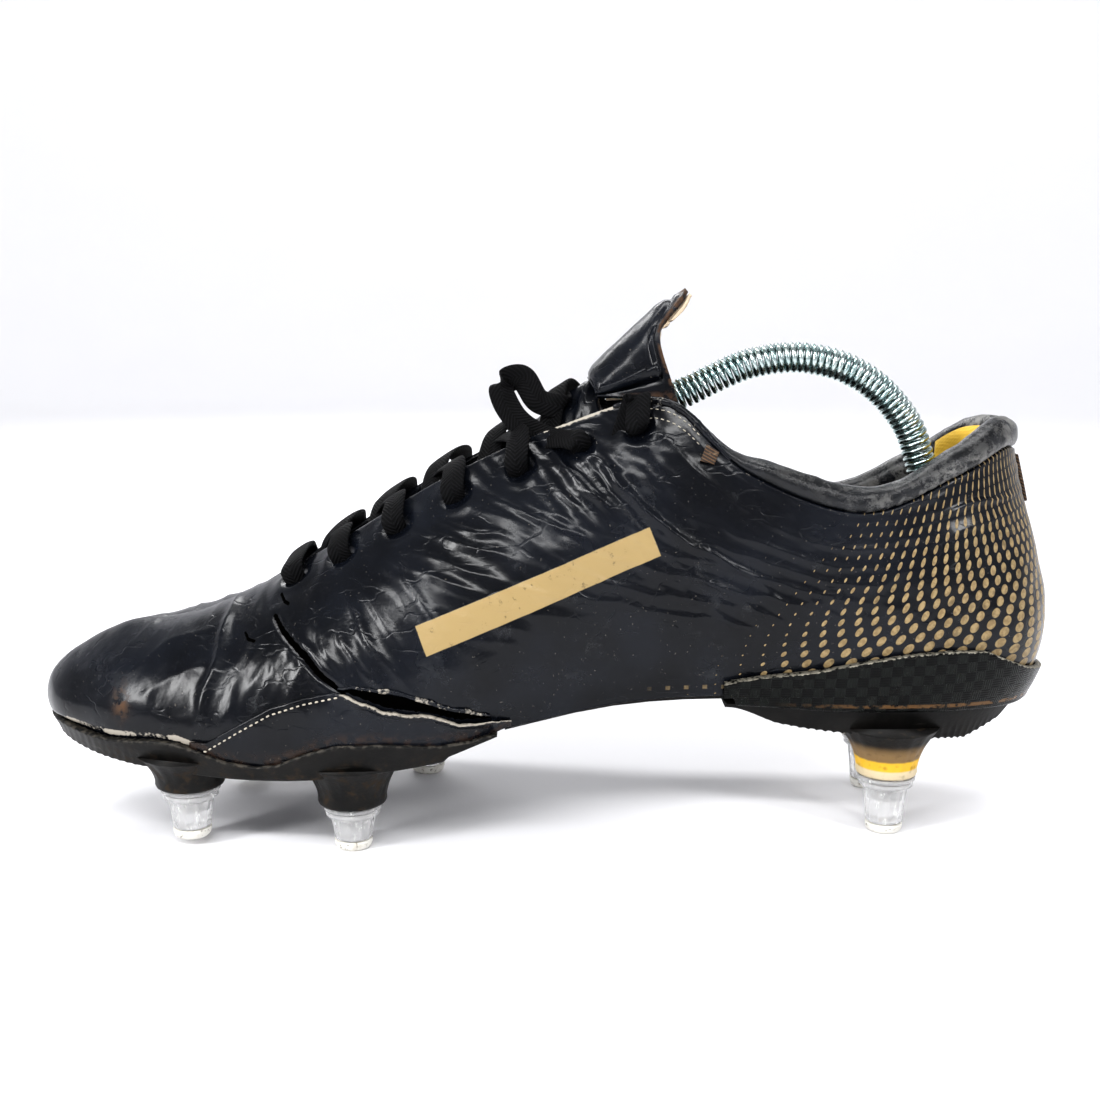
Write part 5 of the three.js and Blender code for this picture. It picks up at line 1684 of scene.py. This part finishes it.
def build_spring():
    axis = centripetal([(x, 0, z) for x, z in SPRING_AXIS], 40)
    length = run_length(axis)[-1]
    at = np.linspace(0, length, int(length / SPRING_PITCH * (22 if FINE else 12)))
    centre = points_along(axis, at)
    tangent = unit(smoothed(unit(np.gradient(centre, axis=0)), 31))
    up = np.cross(tangent, [0.0, 1.0, 0.0])
    angle = (at / SPRING_PITCH * TURN)[:, None]
    line = centre + (np.array([0.0, 1.0, 0.0]) * np.cos(angle) + up * np.sin(angle)) * (SPRING_RADIUS - WIRE)
    forward = unit(np.gradient(line, axis=0))
    outward = square_to(line - centre, forward)
    third = np.cross(forward, outward)
    around = circle(9)[None, :, None]
    section = outward[:, None, :] * np.cos(around) + third[:, None, :] * np.sin(around)
    rings = line[:, None, :] + WIRE * section
    start, end = (tuple((np.array([x, 0, z]) + SHIFT) * MM) for x, z in (SPRING_AXIS[0], SPRING_AXIS[-1]))
    obj = rings_mesh("tree_spring_coil", rings)
    dress_bent(obj, "zinc", "zinc_spring", "tree_knob", start, end, "tree_spring")


def ellipsoid(name, centre, size, body, node):
    angles = circle(64)
    rings = []
    for a in np.linspace(-math.pi / 2 + 0.03, math.pi / 2 - 0.03, 40):
        r, h = math.cos(a), math.sin(a)
        ring = np.stack([r * np.cos(angles), r * np.sin(angles), np.full(64, h)], 1)
        rings.append(ring * np.array(size) + np.array(centre))
    dress(rings_mesh(name, np.array(rings)), "tree", body, "tree_plastic", node)


def build_tree():
    build_spring()
    ellipsoid("tree_block_smooth", (-84, -2, 49), (25, 20, 11), "root", "tree_toe_block")
    ellipsoid("tree_knob_smooth", (123.5, 0, 66), (13, 15, 13), "tree_knob", "tree_heel_knob")


# ---------- carried-over CAD nodes ----------

KEPT = {
    "board": ["eyestay_medial", "eyestay_lateral", "heel_stiffener", "toe_puff", "lasting_board"],
    "suede": ["sockliner"],
    "yellow": ["heel_lining_patch"],
    "plate": ["shank"],
    "aglet": ["lace_aglet_a", "lace_aglet_b"],
    "steel": [f"stud_{kind}_{i}" for kind in ("insert", "post") for i in range(1, 7)],
}


def finish_kept_nodes():
    for material, names in KEPT.items():
        for name in names:
            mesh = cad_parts[name].data
            mesh.materials.clear()
            mesh.materials.append(MATERIALS[material])


# ---------- camera, stage and light ----------


def add_camera():
    data = bpy.data.cameras.new("camera")
    data.sensor_width = 36
    data.lens = 45.03
    data.clip_start, data.clip_end = 0.01, 20
    camera = bpy.data.objects.new("camera", data)
    camera.location = (0.0010, -0.39862, 0.1525)
    camera.rotation_euler = (math.radians(79.5), 0, 0)
    bpy.context.scene.collection.objects.link(camera)
    bpy.context.scene.camera = camera


FLOOR_RADIUS, SWEEP, WALL_TOP = 1.5, 0.8, 1.4


def add_stage():
    """A round studio sweep: a flat floor whose edge curves up into a wall all round."""
    profile = [(0.0, 0), (0.5, 0), (1.0, 0), (FLOOR_RADIUS, 0)]
    for a in np.linspace(0.1, math.pi / 2, 14):
        profile.append((FLOOR_RADIUS + SWEEP * math.sin(a), SWEEP - SWEEP * math.cos(a)))
    profile.append((FLOOR_RADIUS + SWEEP, WALL_TOP))
    sides = 96
    points = [(r * math.cos(a), r * math.sin(a), h) for r, h in profile for a in circle(sides)]
    mesh = bpy.data.meshes.new("studio_sweep")
    mesh.from_pydata(points, [], grid_faces(len(profile), sides, close_cols=True))
    sweep = add_object("studio_sweep", mesh)
    net = Net("studio_paper")
    net.finish(net.mix(net.noise(180, 2), (0.88, 0.88, 0.90), (0.90, 0.90, 0.92)), 0.85)
    mesh.materials.append(net.material)


def add_light(name, place, target, size, watts):
    data = bpy.data.lights.new(name, "AREA")
    data.shape = "RECTANGLE"
    data.size, data.size_y = size
    data.energy = watts
    light = bpy.data.objects.new(name, data)
    light.location = place
    light.rotation_euler = (Vector(target) - Vector(place)).to_track_quat("-Z", "Y").to_euler()
    bpy.context.scene.collection.objects.link(light)


def add_lights():
    add_light("front_strip", (-0.15, -0.8, 0.95), (0, 0, 0.07), (1.0, 0.12), 8)
    add_light("front_left_softbox", (-0.8, -0.6, 0.55), (0, 0, 0.06), (0.16, 0.5), 6.5)
    add_light("front_right_softbox", (0.75, -0.7, 0.6), (0, 0, 0.06), (0.12, 0.4), 4)
    add_light("overhead_softbox", (0.0, 0.25, 1.1), (0, 0, 0.06), (0.9, 0.22), 6)
    add_light("rear_softbox", (-0.2, 0.95, 0.75), (0, 0, 0.08), (0.7, 0.16), 3)
    add_light("backdrop_light", (0, 1.0, 1.6), (0, 2.2, 0.4), (2.4, 0.4), 10)
    world = bpy.data.worlds.new("studio")
    bpy.context.scene.world = world
    world.use_nodes = True
    background = world.node_tree.nodes["Background"]
    background.inputs["Color"].default_value = (0.97, 0.975, 1, 1)
    background.inputs["Strength"].default_value = 0.34
    bpy.context.scene.view_settings.view_transform = "Standard"
    bpy.context.scene.view_settings.look = "Medium High Contrast"


add_camera()
add_stage()
add_lights()
build_upper()
for panel_side in (MEDIAL, LATERAL):
    build_panel(panel_side)
build_torn_lip()
build_panel_stitches()
build_forefoot_plate()
build_heel_counter()
build_heel_plate()
for stud_number, stud_place in enumerate(FRONT_STUDS + HEEL_STUDS, 1):
    build_stud(stud_place, stud_number)
build_collar()
build_heel_trims()
build_inner_yellow()
build_binding()
build_tongue()
build_flap()
build_lace()
build_tree()
finish_kept_nodes()
